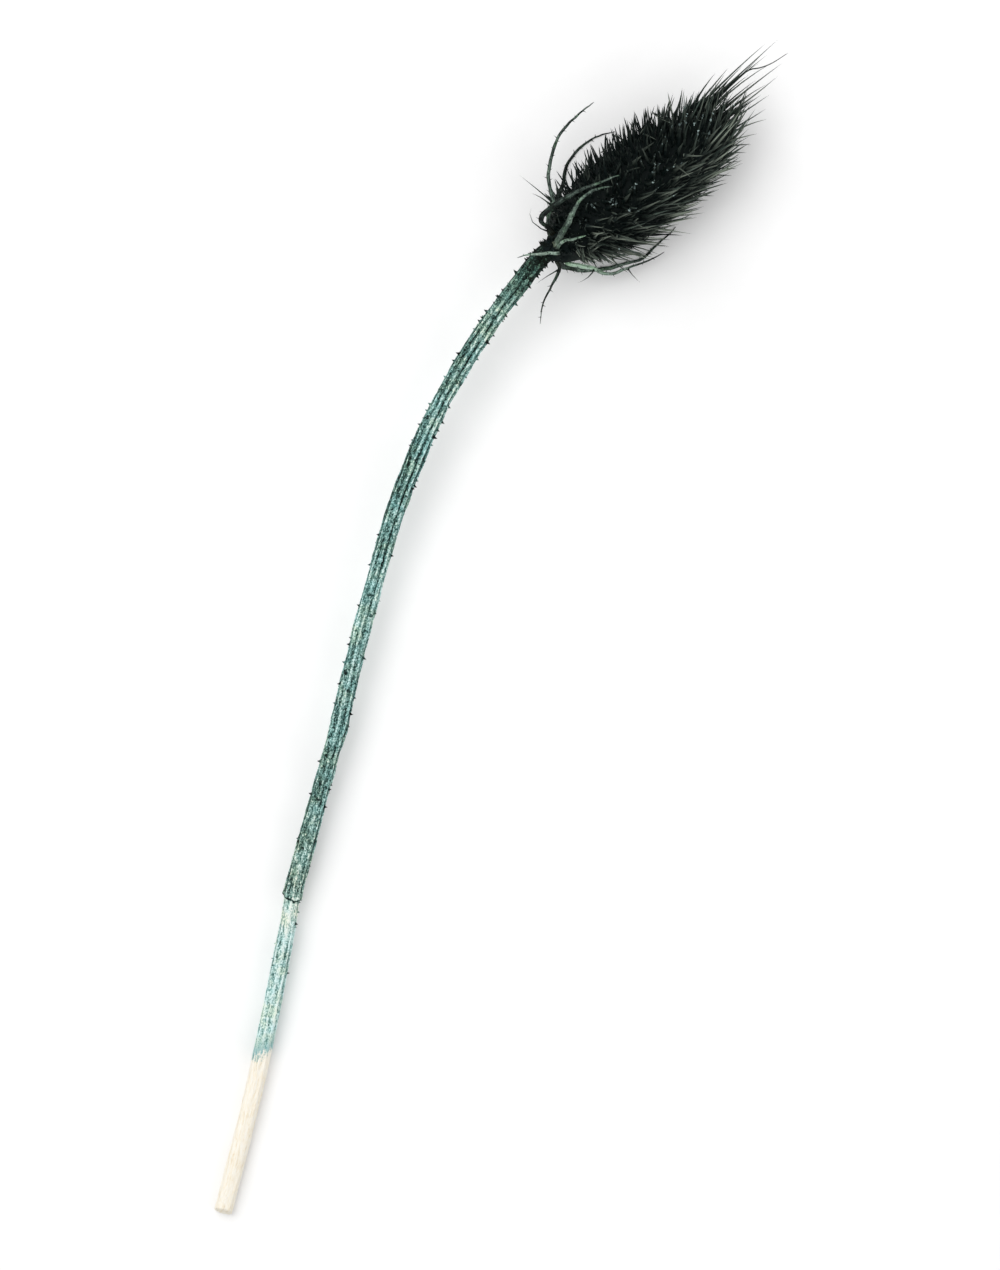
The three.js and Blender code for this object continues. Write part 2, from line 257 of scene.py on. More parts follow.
class Look:
    """A procedural material in the making. Its methods add nodes and give back their outputs."""

    def __init__(self, name):
        self.material = bpy.data.materials.new(name)
        self.material.use_nodes = True
        self.tree = self.material.node_tree
        self.surface = self.tree.nodes["Principled BSDF"].inputs

    def fill(self, socket, value):
        """Sets a socket to a number or a colour, or links an output to it."""
        if isinstance(value, (int, float)):
            socket.default_value = value
        elif isinstance(value, tuple):
            socket.default_value = (*value, 1)
        else:
            self.tree.links.new(value, socket)

    def node(self, kind, output, inputs=None, **settings):
        """Adds a node and gives back one of its outputs."""
        node = self.tree.nodes.new(kind)
        for name, value in settings.items():
            setattr(node, name, value)
        for socket, value in (inputs or {}).items():
            self.fill(node.inputs[socket], value)
        return node.outputs[output]

    def attribute(self, name):
        return self.node("ShaderNodeAttribute", "Fac", attribute_name=name)

    def place(self):
        return self.node("ShaderNodeTexCoord", "Object")

    def grain(self):
        """The place in a grain that runs along the piece."""
        axes = {axis: self.attribute("grain_" + axis.lower()) for axis in "XYZ"}
        return self.node("ShaderNodeCombineXYZ", "Vector", axes)

    def noise(self, vector, scale, detail, rough):
        inputs = dict(Vector=vector, Scale=scale, Detail=detail, Roughness=rough)
        return self.node("ShaderNodeTexNoise", "Fac", inputs)

    def math(self, operation, a, b, clamp=False):
        return self.node("ShaderNodeMath", "Value", {0: a, 1: b}, operation=operation, use_clamp=clamp)

    def weighted(self, *terms):
        """The sum of outputs, each times its weight."""
        products = [self.math("MULTIPLY", output, weight) for output, weight in terms]
        total = products[0]
        for product in products[1:]:
            total = self.math("ADD", total, product)
        return total

    def mix(self, factor, a, b, blend="MIX"):
        inputs = dict(zip(MIX_INPUTS, (factor, a, b)))
        return self.node("ShaderNodeMix", MIX_RESULT, inputs, data_type="RGBA", blend_type=blend)

    def ramp(self, factor, *stops):
        """Colours by a factor from 0 to 1. A stop is a place on that scale, and a colour or a grey."""
        node = self.tree.nodes.new("ShaderNodeValToRGB")
        elements = node.color_ramp.elements
        for position, _ in stops[2:]:
            elements.new(position)
        for element, (position, colour) in zip(elements, stops):
            rgb = colour if isinstance(colour, tuple) else (colour,) * 3
            element.position = position
            element.color = (*rgb, 1)
        self.fill(node.inputs["Fac"], factor)
        return node.outputs["Color"]

    def bump(self, height, distance, strength):
        inputs = dict(Height=height, Distance=distance, Strength=strength)
        self.fill(self.surface["Normal"], self.node("ShaderNodeBump", "Normal", inputs))

    def finish(self, colour, roughness, shine):
        self.fill(self.surface["Base Color"], colour)
        self.fill(self.surface["Roughness"], roughness)
        self.fill(self.surface["Specular IOR Level"], shine)
        return self.material


def stem_material():
    """Dyed stem: near black by the head, teal ribs over furrows darkened by painted shade, bare cream wood
    at the cut end.
    """
    mean_height = 1.99
    contrast = 1.4
    rim_darkness = 0.7
    thin_dye = (0.20, 0.42, 0.43)
    look = Look("dyed_stem")
    down = look.attribute("down")
    crest = look.attribute("crest")
    rim = look.attribute("rim")
    grain = look.grain()
    place = look.place()
    streaks = look.noise(grain, scale=1.5, detail=4.0, rough=0.6)
    fibres = look.noise(grain, scale=4.6, detail=3.0, rough=0.65)
    crust = look.noise(place, scale=1900.0, detail=3.0, rough=0.7)
    blotch = look.noise(place, scale=85.0, detail=2.0, rough=0.5)
    patches = look.noise(place, scale=210.0, detail=2.0, rough=0.6)
    # the crest value paints shade into the colour: darker in the furrows and the furrow line, lighter on the
    # ribs
    height = look.weighted((crest, 0.14), (streaks, 0.9), (fibres, 1.3), (crust, 1.5), (blotch, 0.4))
    # rim darkens the sheath's edge and the prickles; prickles on top of the stem are darkened less, which is
    # painted light
    relief = look.math("SUBTRACT", height, look.math("MULTIPLY", rim, rim_darkness))
    relief = look.math("MULTIPLY", look.math("SUBTRACT", relief, mean_height), contrast)
    # down the stem: its lightness, how far the relief shows in the dye, and the dye's tint
    base = look.ramp(
        down,
        (0, 0.01), (0.025, 0.03), (0.04, 0.14), (0.055, 0.39), (0.075, 0.5), (0.1, 0.52),
        (0.15, 0.51), (0.3, 0.5), (0.38, 0.57), (0.48, 0.58), (0.55, 0.47), (0.64, 0.46),
        (0.678, 0.49), (0.684, 0.83), (0.74, 0.85), (0.84, 0.89))
    shown = look.ramp(down, (0, 0.35), (0.06, 0.8), (0.1, 1), (0.68, 1), (0.69, 0.95))
    tint = look.ramp(
        down,
        (0, (1, 0.97, 0.82)), (0.05, (1.02, 0.98, 0.86)), (0.08, (0.96, 1, 0.96)),
        (0.25, (0.87, 1, 1)), (0.6, (0.93, 1, 0.98)), (0.684, (1.1, 1.02, 0.94)),
        (0.7, (1, 1, 0.98)), (0.74, (0.93, 1, 1)), (0.84, (0.9, 1, 1)))
    dyed = look.ramp(
        look.math("ADD", base, look.math("MULTIPLY", relief, shown)),
        (0, (0.004, 0.007, 0.006)), (0.2, (0.019, 0.044, 0.039)), (0.4, (0.082, 0.165, 0.15)),
        (0.56, (0.18, 0.32, 0.29)), (0.72, (0.34, 0.515, 0.475)), (0.88, (0.6, 0.76, 0.725)),
        (1, (0.86, 0.93, 0.9)))
    cast = look.ramp(patches, (0.36, (0.88, 1, 1.03)), (0.5, (1, 1, 1)), (0.64, (1.05, 1, 0.9)))
    dyed = look.mix(1, dyed, tint, "MULTIPLY")
    dyed = look.mix(1, dyed, cast, "MULTIPLY")
    wood = look.ramp(
        look.weighted((streaks, 0.7), (fibres, 0.3)),
        (0.34, (0.84, 0.72, 0.52)), (0.46, (0.95, 0.88, 0.74)), (0.6, (0.98, 0.945, 0.855)))
    # the dye ends in a ragged, slanted line, and is thin just before it
    to_right = look.attribute("grain_y")
    edge = look.weighted((down, 1.0), (to_right, 0.0017), (streaks, 0.03), (crust, 0.02), (blotch, 0.02))
    dyed = look.mix(look.ramp(edge, (0.848, 0.0), (0.866, 0.75)), dyed, thin_dye)
    bare = look.ramp(edge, (0.867, 0.0), (0.873, 1.0))
    look.bump(height, distance=0.00025, strength=0.8)
    roughness = look.ramp(crust, (0.35, 0.85), (0.65, 0.6))
    return look.finish(look.mix(bare, dyed, wood), roughness, shine=0.12)


def spine_material():
    """Black dye with a green cast, worn to grey-green on some spines and at their tips."""
    unworn = 0.3
    look = Look("dyed_spines")
    share = look.attribute("tip_share")
    seed = look.attribute("seed")
    mottle = look.noise(look.place(), scale=700.0, detail=3.0, rough=0.6)
    dark = look.ramp(
        seed,
        (0, (0.002, 0.0041, 0.0039)), (0.7, (0.0039, 0.0084, 0.0079)), (1, (0.0079, 0.0158, 0.0149)))
    # the tones of worn spines, and from 0.8 on those of chaff
    worn = look.ramp(
        seed,
        (0, (0.058, 0.084, 0.07)), (0.35, (0.11, 0.134, 0.11)), (0.76, (0.24, 0.275, 0.225)),
        (0.8, (0.06, 0.082, 0.079)), (0.9, (0.125, 0.165, 0.16)), (1, (0.38, 0.49, 0.475)))
    tips = look.ramp(share, (0.45, 0), (0.85, 0.16), (1, 0.3))
    outer = look.ramp(share, (0.0, 1.0), (0.02, 0.1), (0.22, 0.35), (0.5, 1.0))
    pale = look.math("MULTIPLY", look.attribute("pale"), outer)
    wear = look.weighted((pale, 1.1), (tips, 1.0), (mottle, 0.5))
    wear = look.math("SUBTRACT", wear, unworn, clamp=True)
    look.bump(mottle, distance=0.0001, strength=0.5)
    roughness = look.ramp(mottle, (0.3, 0.5), (0.7, 0.75))
    return look.finish(look.mix(wear, dark, worn), roughness, shine=0.07)


def bract_material():
    """Dry leaf under a thin dye: black-green to pale grey-green, streaked along its length."""
    mean_mottle = 1.1
    earth_colour = (0.150, 0.140, 0.062)
    look = Look("dyed_bract")
    place = look.place()
    streaks = look.noise(look.grain(), scale=2.2, detail=4.0, rough=0.6)
    blotch = look.noise(place, scale=420.0, detail=3.0, rough=0.65)
    scurf = look.noise(place, scale=1700.0, detail=2.0, rough=0.6)
    patches = look.noise(place, scale=260.0, detail=2.0, rough=0.5)
    tone = look.attribute("tone")
    crest = look.attribute("crest")
    depth = look.weighted((tone, 1.0), (crest, 0.10), (streaks, 0.6), (blotch, 1.0), (scurf, 0.6))
    colour = look.ramp(
        look.math("SUBTRACT", depth, mean_mottle),
        (0, (0.0035, 0.005, 0.0045)), (0.22, (0.016, 0.024, 0.02)), (0.42, (0.06, 0.086, 0.072)),
        (0.6, (0.135, 0.19, 0.15)), (0.78, (0.26, 0.35, 0.285)), (1, (0.48, 0.6, 0.53)))
    cast = look.ramp(patches, (0.38, (1.04, 1, 1.02)), (0.5, (1, 1, 1)), (0.62, (0.91, 1.04, 0.87)))
    colour = look.mix(1.0, colour, cast, "MULTIPLY")
    earth = look.math("MULTIPLY", look.attribute("earth"), blotch)
    look.bump(depth, distance=0.00015, strength=0.5)
    roughness = look.ramp(blotch, (0.3, 0.55), (0.7, 0.8))
    return look.finish(look.mix(earth, colour, earth_colour), roughness, shine=0.12)


def floor_material():
    look = Look("pale_floor")
    grain = look.noise(look.place(), scale=40.0, detail=2.0, rough=0.5)
    return look.finish(look.ramp(grain, (0.3, 0.90), (0.7, 0.93)), roughness=0.75, shine=0.2)


# The stem

STEM_RADIUS = 2.5
STEM_RIBS = 8
STEM_RIB_DEPTH = 0.22
STEM_GAP = 0.3  # between the stem's end and the base of the head's core
STEM_COURSE = Path([
    (-79.6, -165.6, 2.75),
    (-67.6, -120, 4.3),
    (-58.6, -75, 6.4),
    (-48, -30, 8.7),
    (-36.8, 11.6, 11),
    (-27, 42, 12.7),
    (-15, 69, 14.4),
    (-0.6, 92.2, 16.2),
    HEAD_BASE - FORWARD * 7,
    HEAD_BASE - FORWARD * STEM_GAP,
])
# how far the stem strays sideways from its course, by distance from the head
STEM_STRAYS = [
    (0, 0), (13, 0.4), (27, -0.1), (66, -0.45), (98, -0.4), (122, 0.05), (153, 0.85), (176, 0.1),
    (203, -1.0), (212, -0.5), (247, -0.7), (285, 0)]
STEM_SIDES = 88
STEM_STEP = 0.72
EDGE_STEPS = np.arange(-2.2, 1.2, 0.13)  # closer rings round the sheath edge

# The leaf node, with the torn edge of an old sheath on it and a waist under it
NODE_DISTANCE = 204.0
NODE_WAIST = 0.32
NODE_WAIST_LENGTH = 14.0
SHEATH_LIP = 0.24
SHEATH_LIP_LENGTH = 1.4
SHEATH_HANG = 0.4
HANG_ON_TOP = 0.8
HANG_ON_RIGHT = 0.2
SHEATH_RAGGEDNESS = 0.35
SHEATH_TEETH = 17
RIM_MIDDLE = 0.05
RIM_WIDTH = 0.3

# The cut end: the rings of its face, by their share of the way out, and how far they are sunk
CUT_SLANT = 0.35
CUT_LENGTH = 3.0
PITH_DEPTH = 1.2
CUT_SHARES = np.array([0.2, 0.42, 0.5, 0.62, 0.82, 0.93])
CUT_DEPTHS = np.array([1.15, 0.95, 0.55, 0.10, 0.02, -0.05])
CUT_CRESTS = np.linspace(-1.4, 0.6, len(CUT_SHARES))
CUT_ROUGHNESS = 0.06

# Noise on the stem: strength, cells round it and cell length
RIB_WANDER = [(0.09, 1, 26), (0.06, 8, 15)]
RIB_UNEVENNESS = [(0.5, STEM_RIBS, 19)]
RIB_TONE_DRIFT = [(0.55, STEM_RIBS, 24)]
STEM_SWELL = [(0.12, 1, 9)]
STEM_FIBRES = [(0.055, 40, 7), (0.045, 80, 3)]
STEM_PITS = [(0.09, 20, 1.5), (0.14, 9, 3.5)]

RIB_TURN = math.radians(4.5)  # how far the ribs are turned, so that a furrow lies right of the top
RIB_SHARPNESS = 0.8
RIB_STRENGTH = 1.15
LOW_RIBS = 0.5  # how much of the ribs and pits is left below the sheath
LOW_PITS = 0.4
# lightness of the ribs, from the one left of the top round by the right
RIB_TONES = np.array([-0.15, 0.8, -0.3, 0, 0, 0, -0.3, -0.3])
RIB_TONE_WEIGHT = 1.2
# a deeper furrow beside the top of the upper stem, also darkened in colour by painted shade
FURROW_ANGLE = math.radians(18)
FURROW_WIDTH = 0.09
FURROW_DEPTH = 1.1
FURROW_PAINTED_SHADE = 2.0

STEM_SCALE = 300.0  # length that the stem's 0 to 1 colour scale covers
GRAIN_RADIUS = 2.6
GRAIN_STRETCH = 0.19  # grain steps per millimetre along the stem, against about 1 round it

PRICKLE_COUNT = 380
PRICKLE_PLACES = (2, 230)
PRICKLE_CROWDING = 2.5
PRICKLE_LENGTHS = (1.4, 0.5)  # near the head and low down
PRICKLE_RADIUS = 0.34
PRICKLE_SINK = 0.35
PRICKLE_SHADES = np.array([0.3, 0.6, 0.8, 0.9])  # from foot to tip


def strayed(course):
    """The course with the stem's small kinks."""
    share = np.linspace(0, 1, 60)
    points, _, _, across = course.frame(share, UP)
    stray = np.interp((1 - share) * course.length, *zip(*STEM_STRAYS))
    return Path(points + across * stray[:, None], per_span=6)


STEM_PATH = strayed(STEM_COURSE)


def stem_radius(below):
    """Radius by distance below the node."""
    waist = np.where(below > 0, NODE_WAIST * np.exp(-((below / NODE_WAIST_LENGTH) ** 2)), 0)
    lip = np.where(below <= 0, SHEATH_LIP * np.exp(np.minimum(below, 0) / SHEATH_LIP_LENGTH), 0)
    return STEM_RADIUS - waist + lip


def below_node(distance, angle):
    """Distance below the ragged sheath edge, which hangs lower on top of the stem."""
    rng = np.random.default_rng(SHEATH_SEED)
    ragged = ring_noise(angle, np.zeros_like(distance), SHEATH_TEETH, 1, rng)
    hang = HANG_ON_TOP * np.cos(angle) + HANG_ON_RIGHT * np.sin(angle)
    return distance - (NODE_DISTANCE + SHEATH_HANG + hang + SHEATH_RAGGEDNESS * ragged)


def stem_relief(distance, angle, below, rng):
    """Height of the relief over the mean radius, and the lightness that goes with it: painted shade, darker
    in the furrows and the furrow line, and each rib's own tone.
    """
    wander = noise_sum(angle, distance, RIB_WANDER, rng)
    turned = angle + wander + RIB_TURN
    crest = 1 - 2 * np.abs(np.sin(STEM_RIBS / 2 * turned)) ** RIB_SHARPNESS
    crest = crest * (RIB_STRENGTH + noise_sum(angle, distance, RIB_UNEVENNESS, rng))
    upper = smoothstep(distance, 8, 20) * (1 - smoothstep(distance, 95, 150))
    off_furrow = (angle + wander - FURROW_ANGLE + math.pi) % (2 * math.pi) - math.pi
    furrow = np.exp(-((off_furrow / FURROW_WIDTH) ** 2)) * upper
    sheath = 1 - smoothstep(below, -1, 3)
    # each rib has its own lightness: a set one, strongest on the upper stem, and one that changes slowly
    # along it
    rib = np.round(turned * STEM_RIBS / (2 * math.pi)).astype(int) % STEM_RIBS
    rib_angle = rib * 2 * math.pi / STEM_RIBS
    tone = RIB_TONES[rib] * (0.3 + 0.7 * upper) + noise_sum(rib_angle, distance, RIB_TONE_DRIFT, rng)
    ribs = STEM_RIB_DEPTH * (crest - FURROW_DEPTH * furrow) * lerp(LOW_RIBS, 1.0, sheath)
    swell = noise_sum(angle, distance, STEM_SWELL, rng) * sheath
    fibres = noise_sum(angle, distance, STEM_FIBRES, rng)
    pits = noise_sum(angle, distance, STEM_PITS, rng) * lerp(LOW_PITS, 1.0, sheath)
    # the lightness darkens the furrows and the furrow line as painted shade, and adds each rib's tone
    return ribs + swell + fibres + pits, crest - FURROW_PAINTED_SHADE * furrow + RIB_TONE_WEIGHT * tone


def stem_values(distance, angle, crest, rim):
    return dict(
        down=distance / STEM_SCALE, crest=crest, rim=rim, grain_x=GRAIN_RADIUS * np.cos(angle),
        grain_y=GRAIN_RADIUS * np.sin(angle), grain_z=distance * GRAIN_STRETCH)


def cut_face(centre, rim, inward):
    """Rings from the sunken pith out to a woody rim."""
    rng = np.random.default_rng(CUT_SEED)
    rough = rng.uniform(-CUT_ROUGHNESS, CUT_ROUGHNESS, (len(CUT_SHARES), len(rim)))
    depths = CUT_DEPTHS[:, None] + rough
    return centre + (rim - centre)[None] * CUT_SHARES[:, None, None] + inward * depths[..., None]


def stem_skin():
    even = np.arange(0, STEM_PATH.length, STEM_STEP)
    edge = STEM_PATH.length - NODE_DISTANCE + EDGE_STEPS
    share = np.sort(np.concatenate([even, edge, [STEM_PATH.length]])) / STEM_PATH.length
    grid_share, angle = np.meshgrid(share, turns(STEM_SIDES), indexing="ij")
    distance = (1 - grid_share) * STEM_PATH.length
    below = below_node(distance, angle)
    relief, crest = stem_relief(distance, angle, below, np.random.default_rng(STEM_SEED))
    radius = stem_radius(below) + relief
    points, tangent, above, across = STEM_PATH.frame(share, UP)
    rise = radius * np.cos(angle)
    aside = radius * np.sin(angle)
    rings = points[:, None] + across[:, None] * aside[..., None] + above[:, None] * rise[..., None]
    cut = np.clip(1 - share * STEM_PATH.length / CUT_LENGTH, 0, 1)
    rings = rings + tangent[:, None] * (CUT_SLANT * rise * cut[:, None])[..., None]
    face = cut_face(points[0], rings[0], tangent[0])
    rim = np.exp(-(((below - RIM_MIDDLE) / RIM_WIDTH) ** 2))
    values = stem_values(distance, angle, crest, rim)
    face_values = {name: np.broadcast_to(value[0], face.shape[:2]) for name, value in values.items()}
    face_values["crest"] = np.broadcast_to(CUT_CRESTS[:, None], face.shape[:2])
    whole = {name: np.concatenate([face_values[name], value]) for name, value in values.items()}
    skin = Skin()
    skin.loft(np.concatenate([face, rings]), points[0] + tangent[0] * PITH_DEPTH, points[-1], **whole)
    return skin


def stem_prickles(skin):
    """Prickles on the ribs, many and long near the head, few and short lower down."""
    rng = np.random.default_rng(PRICKLE_SEED)
    for number in range(PRICKLE_COUNT):
        share = (number + rng.random()) / PRICKLE_COUNT
        distance = lerp(*PRICKLE_PLACES, share**PRICKLE_CROWDING)
        rib = int(rng.integers(0, STEM_RIBS))
        angle = 2 * math.pi * rib / STEM_RIBS - RIB_TURN + rng.normal(0, 0.09)
        length = lerp(*PRICKLE_LENGTHS, share**0.8) * rng.uniform(0.45, 1.2)
        middle, tangent, above, across = STEM_PATH.frame(1 - distance / STEM_PATH.length, UP)
        out = across * math.sin(angle) + above * math.cos(angle)
        foot = middle + out * (float(stem_radius(distance - NODE_DISTANCE)) + STEM_RIB_DEPTH * 0.6)
        lean = -tangent * rng.uniform(-0.25, 0.5) + np.cross(out, tangent) * rng.normal(0, 0.15)
        # prickles on top of the stem are darkened less than those on its sides: painted light on the top,
        # over a random darkness
        darkness = rng.uniform(0.4, 1.1) * lerp(1.0, 0.35, ease(math.cos(angle), 0.2, 0.8))
        spike(
            skin, foot - out * PRICKLE_SINK, foot + (out + lean) * length, -tangent * 0.06 * length,
            PRICKLE_RADIUS + 0.3 * length, sides=6, flare=1.4,
            **stem_values(distance, angle, 0.0, PRICKLE_SHADES * darkness))


# The head's core, as in the part's source, and the collar round the stem's top

CORE_LENGTH = 60.0
CORE_RADIUS = 12.2
CORE_WIDEST = 24.0
CORE_FOOT_RADIUS = 3.0
CORE_SIDES = 72
CORE_TURNS = np.linspace(0.012, 0.985, 70)  # shares of the half turn from base to tip
COLLAR_ALONG = np.array([-4.2, -3.4, -2.4, -1.4, -0.4, 0.6, 1.6, 2.6, 3.6])
COLLAR_RADII = np.array([2.5, 2.9, 3.3, 3.6, 4.0, 4.6, 5.2, 5.5, 5.2])
COLLAR_START = 5  # moves the collar's places to where its noise begins
# noise on core and collar: strength, cells round it and cell length
CORE_KNOBS = [(0.22, 36, 1.6)]
COLLAR_KNOBS = [(0.3, 13, 1.5), (0.2, 30, 1.0)]
COLLAR_WEAR = [(0.12, 9, 2.0)]


def core_radius(along):
    foot_reach = CORE_WIDEST / math.sqrt(1 - (CORE_FOOT_RADIUS / CORE_RADIUS) ** 2)
    reach = np.where(np.asarray(along) < CORE_WIDEST, foot_reach, CORE_LENGTH - CORE_WIDEST)
    return CORE_RADIUS * np.sqrt(np.maximum(0, 1 - ((along - CORE_WIDEST) / reach) ** 2))


def head_rings(along, angle, radius):
    out = np.cos(angle)[..., None] * LEFT + np.sin(angle)[..., None] * UP
    return HEAD_BASE + along[..., None] * FORWARD + radius[..., None] * out


def head_core(skin):
    """The knobbly core that the spines stand on, and a collar round the stem's top."""
    rng = np.random.default_rng(CORE_SEED)
    steps = CORE_LENGTH * (1 - np.cos(math.pi * CORE_TURNS)) / 2
    along, angle = np.meshgrid(steps, turns(CORE_SIDES), indexing="ij")
    radius = core_radius(along) + noise_sum(angle, along, CORE_KNOBS, rng)
    rings = head_rings(along, angle, radius)
    skin.loft(rings, HEAD_BASE, axis_point(CORE_LENGTH), tip_share=0.0, seed=0.1, pale=0.0)
    along, angle = np.meshgrid(COLLAR_ALONG, turns(CORE_SIDES), indexing="ij")
    knobs = noise_sum(angle, along + COLLAR_START, COLLAR_KNOBS, rng)
    rings = head_rings(along, angle, COLLAR_RADII[:, None] * (1 - 0.1 * np.cos(angle)) + knobs)
    pale = 0.02 + noise_sum(angle, along + COLLAR_START, COLLAR_WEAR, rng)
    ends = axis_point(COLLAR_ALONG[0]), axis_point(COLLAR_ALONG[-1])
    skin.loft(rings, *ends, tip_share=0.0, seed=0.55, pale=pale)


# The head's spines

SPINE_COUNT = 1050
CLUMP_COUNT = 190
SPINE_BARE_BASE = 3.0
SPINE_LENGTHS = (4.6, 9.0)  # at the base and at the tip
SPINE_SINK = 1.0
LEAN_UPRIGHT = math.radians(18)
LEAN_FRONT = math.radians(45)
LEAN_BRUSHED = math.radians(64)
LEAN_BRUSHED_LOW = math.radians(50)
TOP_LEFT_LEAN = 0.7
TUFT_SWAY = 0.19
SLOPE_STEP = 0.2
SLOPE_LIMITS = (-3, 0.6)
FLOOR_GAP = 0.05
NEAR_FLOOR = 1.5
BRACT_GAP = 0.9
STRAY_SHARE = 0.07
STRAY_JITTER = 0.30
SPINE_JITTER = 0.085
BROKEN_SHARE = 0.06
PALEST_SHARE = 0.10
# half widths of a spine, by share of its length
SPINE_STEPS = np.array([0.0, 0.12, 0.26, 0.42, 0.60, 0.80])
DAGGER = np.array([0.90, 1.02, 0.90, 0.66, 0.42, 0.19])
NEEDLE = np.array([0.60, 0.62, 0.38, 0.25, 0.19, 0.11])


class Spot:
    """A place on the head's core, with shares from 0 to 1 that say which part of the head it is in."""

    def __init__(self, along, angle):
        self.along = along
        self.angle = angle
        self.out = LEFT * math.cos(angle) + UP * math.sin(angle)
        self.inner = FORWARD - self.out * 0.7  # where the hollow side of a spine faces
        self.foot = axis_point(along) + self.out * float(core_radius(along))
        self.left = max(0.0, math.cos(angle))
        self.brushed = ease(-math.cos(angle), -0.15, 0.85)  # the right side, where spines are brushed flat
        self.front = ease(along, 38, CORE_LENGTH)
        self.low_left = self.left * fade(along, 18, 34)  # gappier than the rest
        self.low_right = self.brushed * fade(along, 24, 36)

    def ends(self, direction, length, sink):
        """Root and tip of a spine that stands here, its root sunk into the core."""
        return self.foot - direction * sink, self.foot + direction * length


def even_places(count, first):
    """Distances along the core that share its skin out evenly."""
    edges = np.linspace(SPINE_BARE_BASE, CORE_LENGTH, 400)
    radii = core_radius(edges)
    areas = (radii[1:] + radii[:-1]) / 2 * np.hypot(np.diff(edges), np.diff(radii))
    passed = np.concatenate([[0], np.cumsum(areas)])
    return np.interp((np.arange(count) + first) / count * passed[-1], passed, edges)


def spine_direction(spot, jitter):
    """Upright on the left and on top, brushed flat on the right, swayed at the tip."""
    along = spot.along
    slope = (core_radius(along + SLOPE_STEP) - core_radius(along - SLOPE_STEP)) / (2 * SLOPE_STEP)
    normal = unit(spot.out - FORWARD * float(np.clip(slope, *SLOPE_LIMITS)))
    upright = lerp(LEAN_UPRIGHT, LEAN_FRONT, ease(along, 40, CORE_LENGTH))
    flat = lerp(LEAN_BRUSHED_LOW, LEAN_BRUSHED, ease(along, 14, 34))
    lean = lerp(upright, flat, spot.brushed) * min(1, 0.45 + along / 20)
    heading = FORWARD + LEFT * TOP_LEFT_LEAN * (1 - spot.brushed) * max(0.0, math.sin(spot.angle))
    skinwards = unit(heading - normal * np.dot(heading, normal))
    sway = LEFT * TUFT_SWAY * ease(along, 0.6 * CORE_LENGTH, CORE_LENGTH)
    return unit(normal * math.cos(lean) + skinwards * math.sin(lean) + jitter + sway)


def keep_above_floor(root, direction, length):
    """The direction, levelled off where a spine would pass through the floor."""
    lowest = (FLOOR_GAP - root[2]) / length
    if direction[2] >= lowest:
        return direction
    level = math.hypot(direction[0], direction[1])
    stretch = math.sqrt(max(0, 1 - lowest**2)) / level
    return np.array([direction[0] * stretch, direction[1] * stretch, lowest])


def spine(skin, root, tip, bow, inner, widths, pale, seed):
    """A stiff bract of the head: a boat-shaped foot that narrows to a keeled point."""
    share = SPINE_STEPS[:, None]
    middle = bowed(root, tip, bow, share)
    tangent = unit(tip - root + bow * 4 * (1 - 2 * share))
    inside = unit(inner - tangent * np.sum(tangent * inner, axis=1, keepdims=True))
    side = np.cross(tangent, inside)
    half = widths[:, None]
    keel = np.minimum(0.5 * half + 0.06, 0.9 * half)
    hollow = 0.9 * keel - 0.62 * np.maximum(half - 0.18, 0)
    lip = inside * (hollow + 0.12 * half)
    rings = np.stack([
        middle - inside * keel,
        middle - side * half,
        middle - side * 0.5 * half + lip,
        middle + side * 0.5 * half + lip,
        middle + side * half], axis=1)
    skin.loft(rings, root, tip, tip_share=SPINE_STEPS, seed=seed, pale=pale)


def near_bract(root, tip, lines):
    span = tip - root
    share = np.clip(((lines - root) @ span) / (span @ span), 0, 1)
    gap = np.linalg.norm(root + share[:, None] * span - lines, axis=1)
    return gap.min() < BRACT_GAP


def clump_centres(rng):
    alongs = even_places(CLUMP_COUNT, 0.5)
    angles = np.arange(CLUMP_COUNT) * GOLDEN_TURN + rng.normal(0, 0.05, CLUMP_COUNT)
    spots = [Spot(along, angle) for along, angle in zip(alongs, angles)]
    ways = [spine_direction(spot, rng.normal(0, 0.13, 3)) for spot in spots]
    return np.array([spot.foot for spot in spots]), np.array(ways)


def spine_length(spot, rng):
    """Longer towards the tip and on the right, shortest low on the right; a few are broken off."""
    length = lerp(*SPINE_LENGTHS, ease(spot.along, 0, CORE_LENGTH)) * rng.uniform(0.8, 1.2)
    length *= lerp(0.86, 1.15, spot.brushed) * lerp(1.0, 1.25, spot.brushed * spot.front)
    length *= lerp(1.0, lerp(0.6, 1.5, ease(spot.along, 4, 13)), spot.low_right)
    length *= 1 + 0.35 * spot.left * fade(spot.along, 10, 34)
    if rng.random() < BROKEN_SHARE:
        length *= rng.uniform(0.45, 0.75)
    return length


def clump_pull(spot, rng):
    """How far a spine leans over to the middle of its clump."""
    most = lerp(0.75, lerp(0.54, 0.72, spot.low_right), spot.brushed)
    return most * rng.uniform(0.6, 1.15) * (1 - 0.6 * spot.front * (1 - spot.brushed))


def gap_share(spot):
    """The share of spines that are missing: most on the right, fewest on the underside."""
    upright = lerp(0.22, 0.42, spot.low_left) * (1 - spot.front)
    flat = lerp(0.54, 0.62, spot.front)
    gaps = lerp(upright, flat, spot.brushed * ease(spot.along, 6, 22))
    return lerp(gaps, 0.12, ease(-math.sin(spot.angle), 0.15, 0.5))


def spine_widths(spot, rng):
    """Broad daggers on the left and on top, slender needles on the right and at the tip."""
    slender = np.clip(max(1.7 * spot.brushed, spot.front) + rng.normal(0, 0.2), 0, 1)
    stouter = 1 - 0.18 * spot.brushed - 0.25 * spot.brushed * spot.front
    slender *= lerp(0.3, 1.0, ease(spot.along, 6, 20)) * stouter
    widths = lerp(DAGGER, NEEDLE, slender) * rng.uniform(0.8, 1.1)
    return widths * lerp(1.0, 0.95, spot.brushed) * lerp(1.0, 0.8, spot.front)


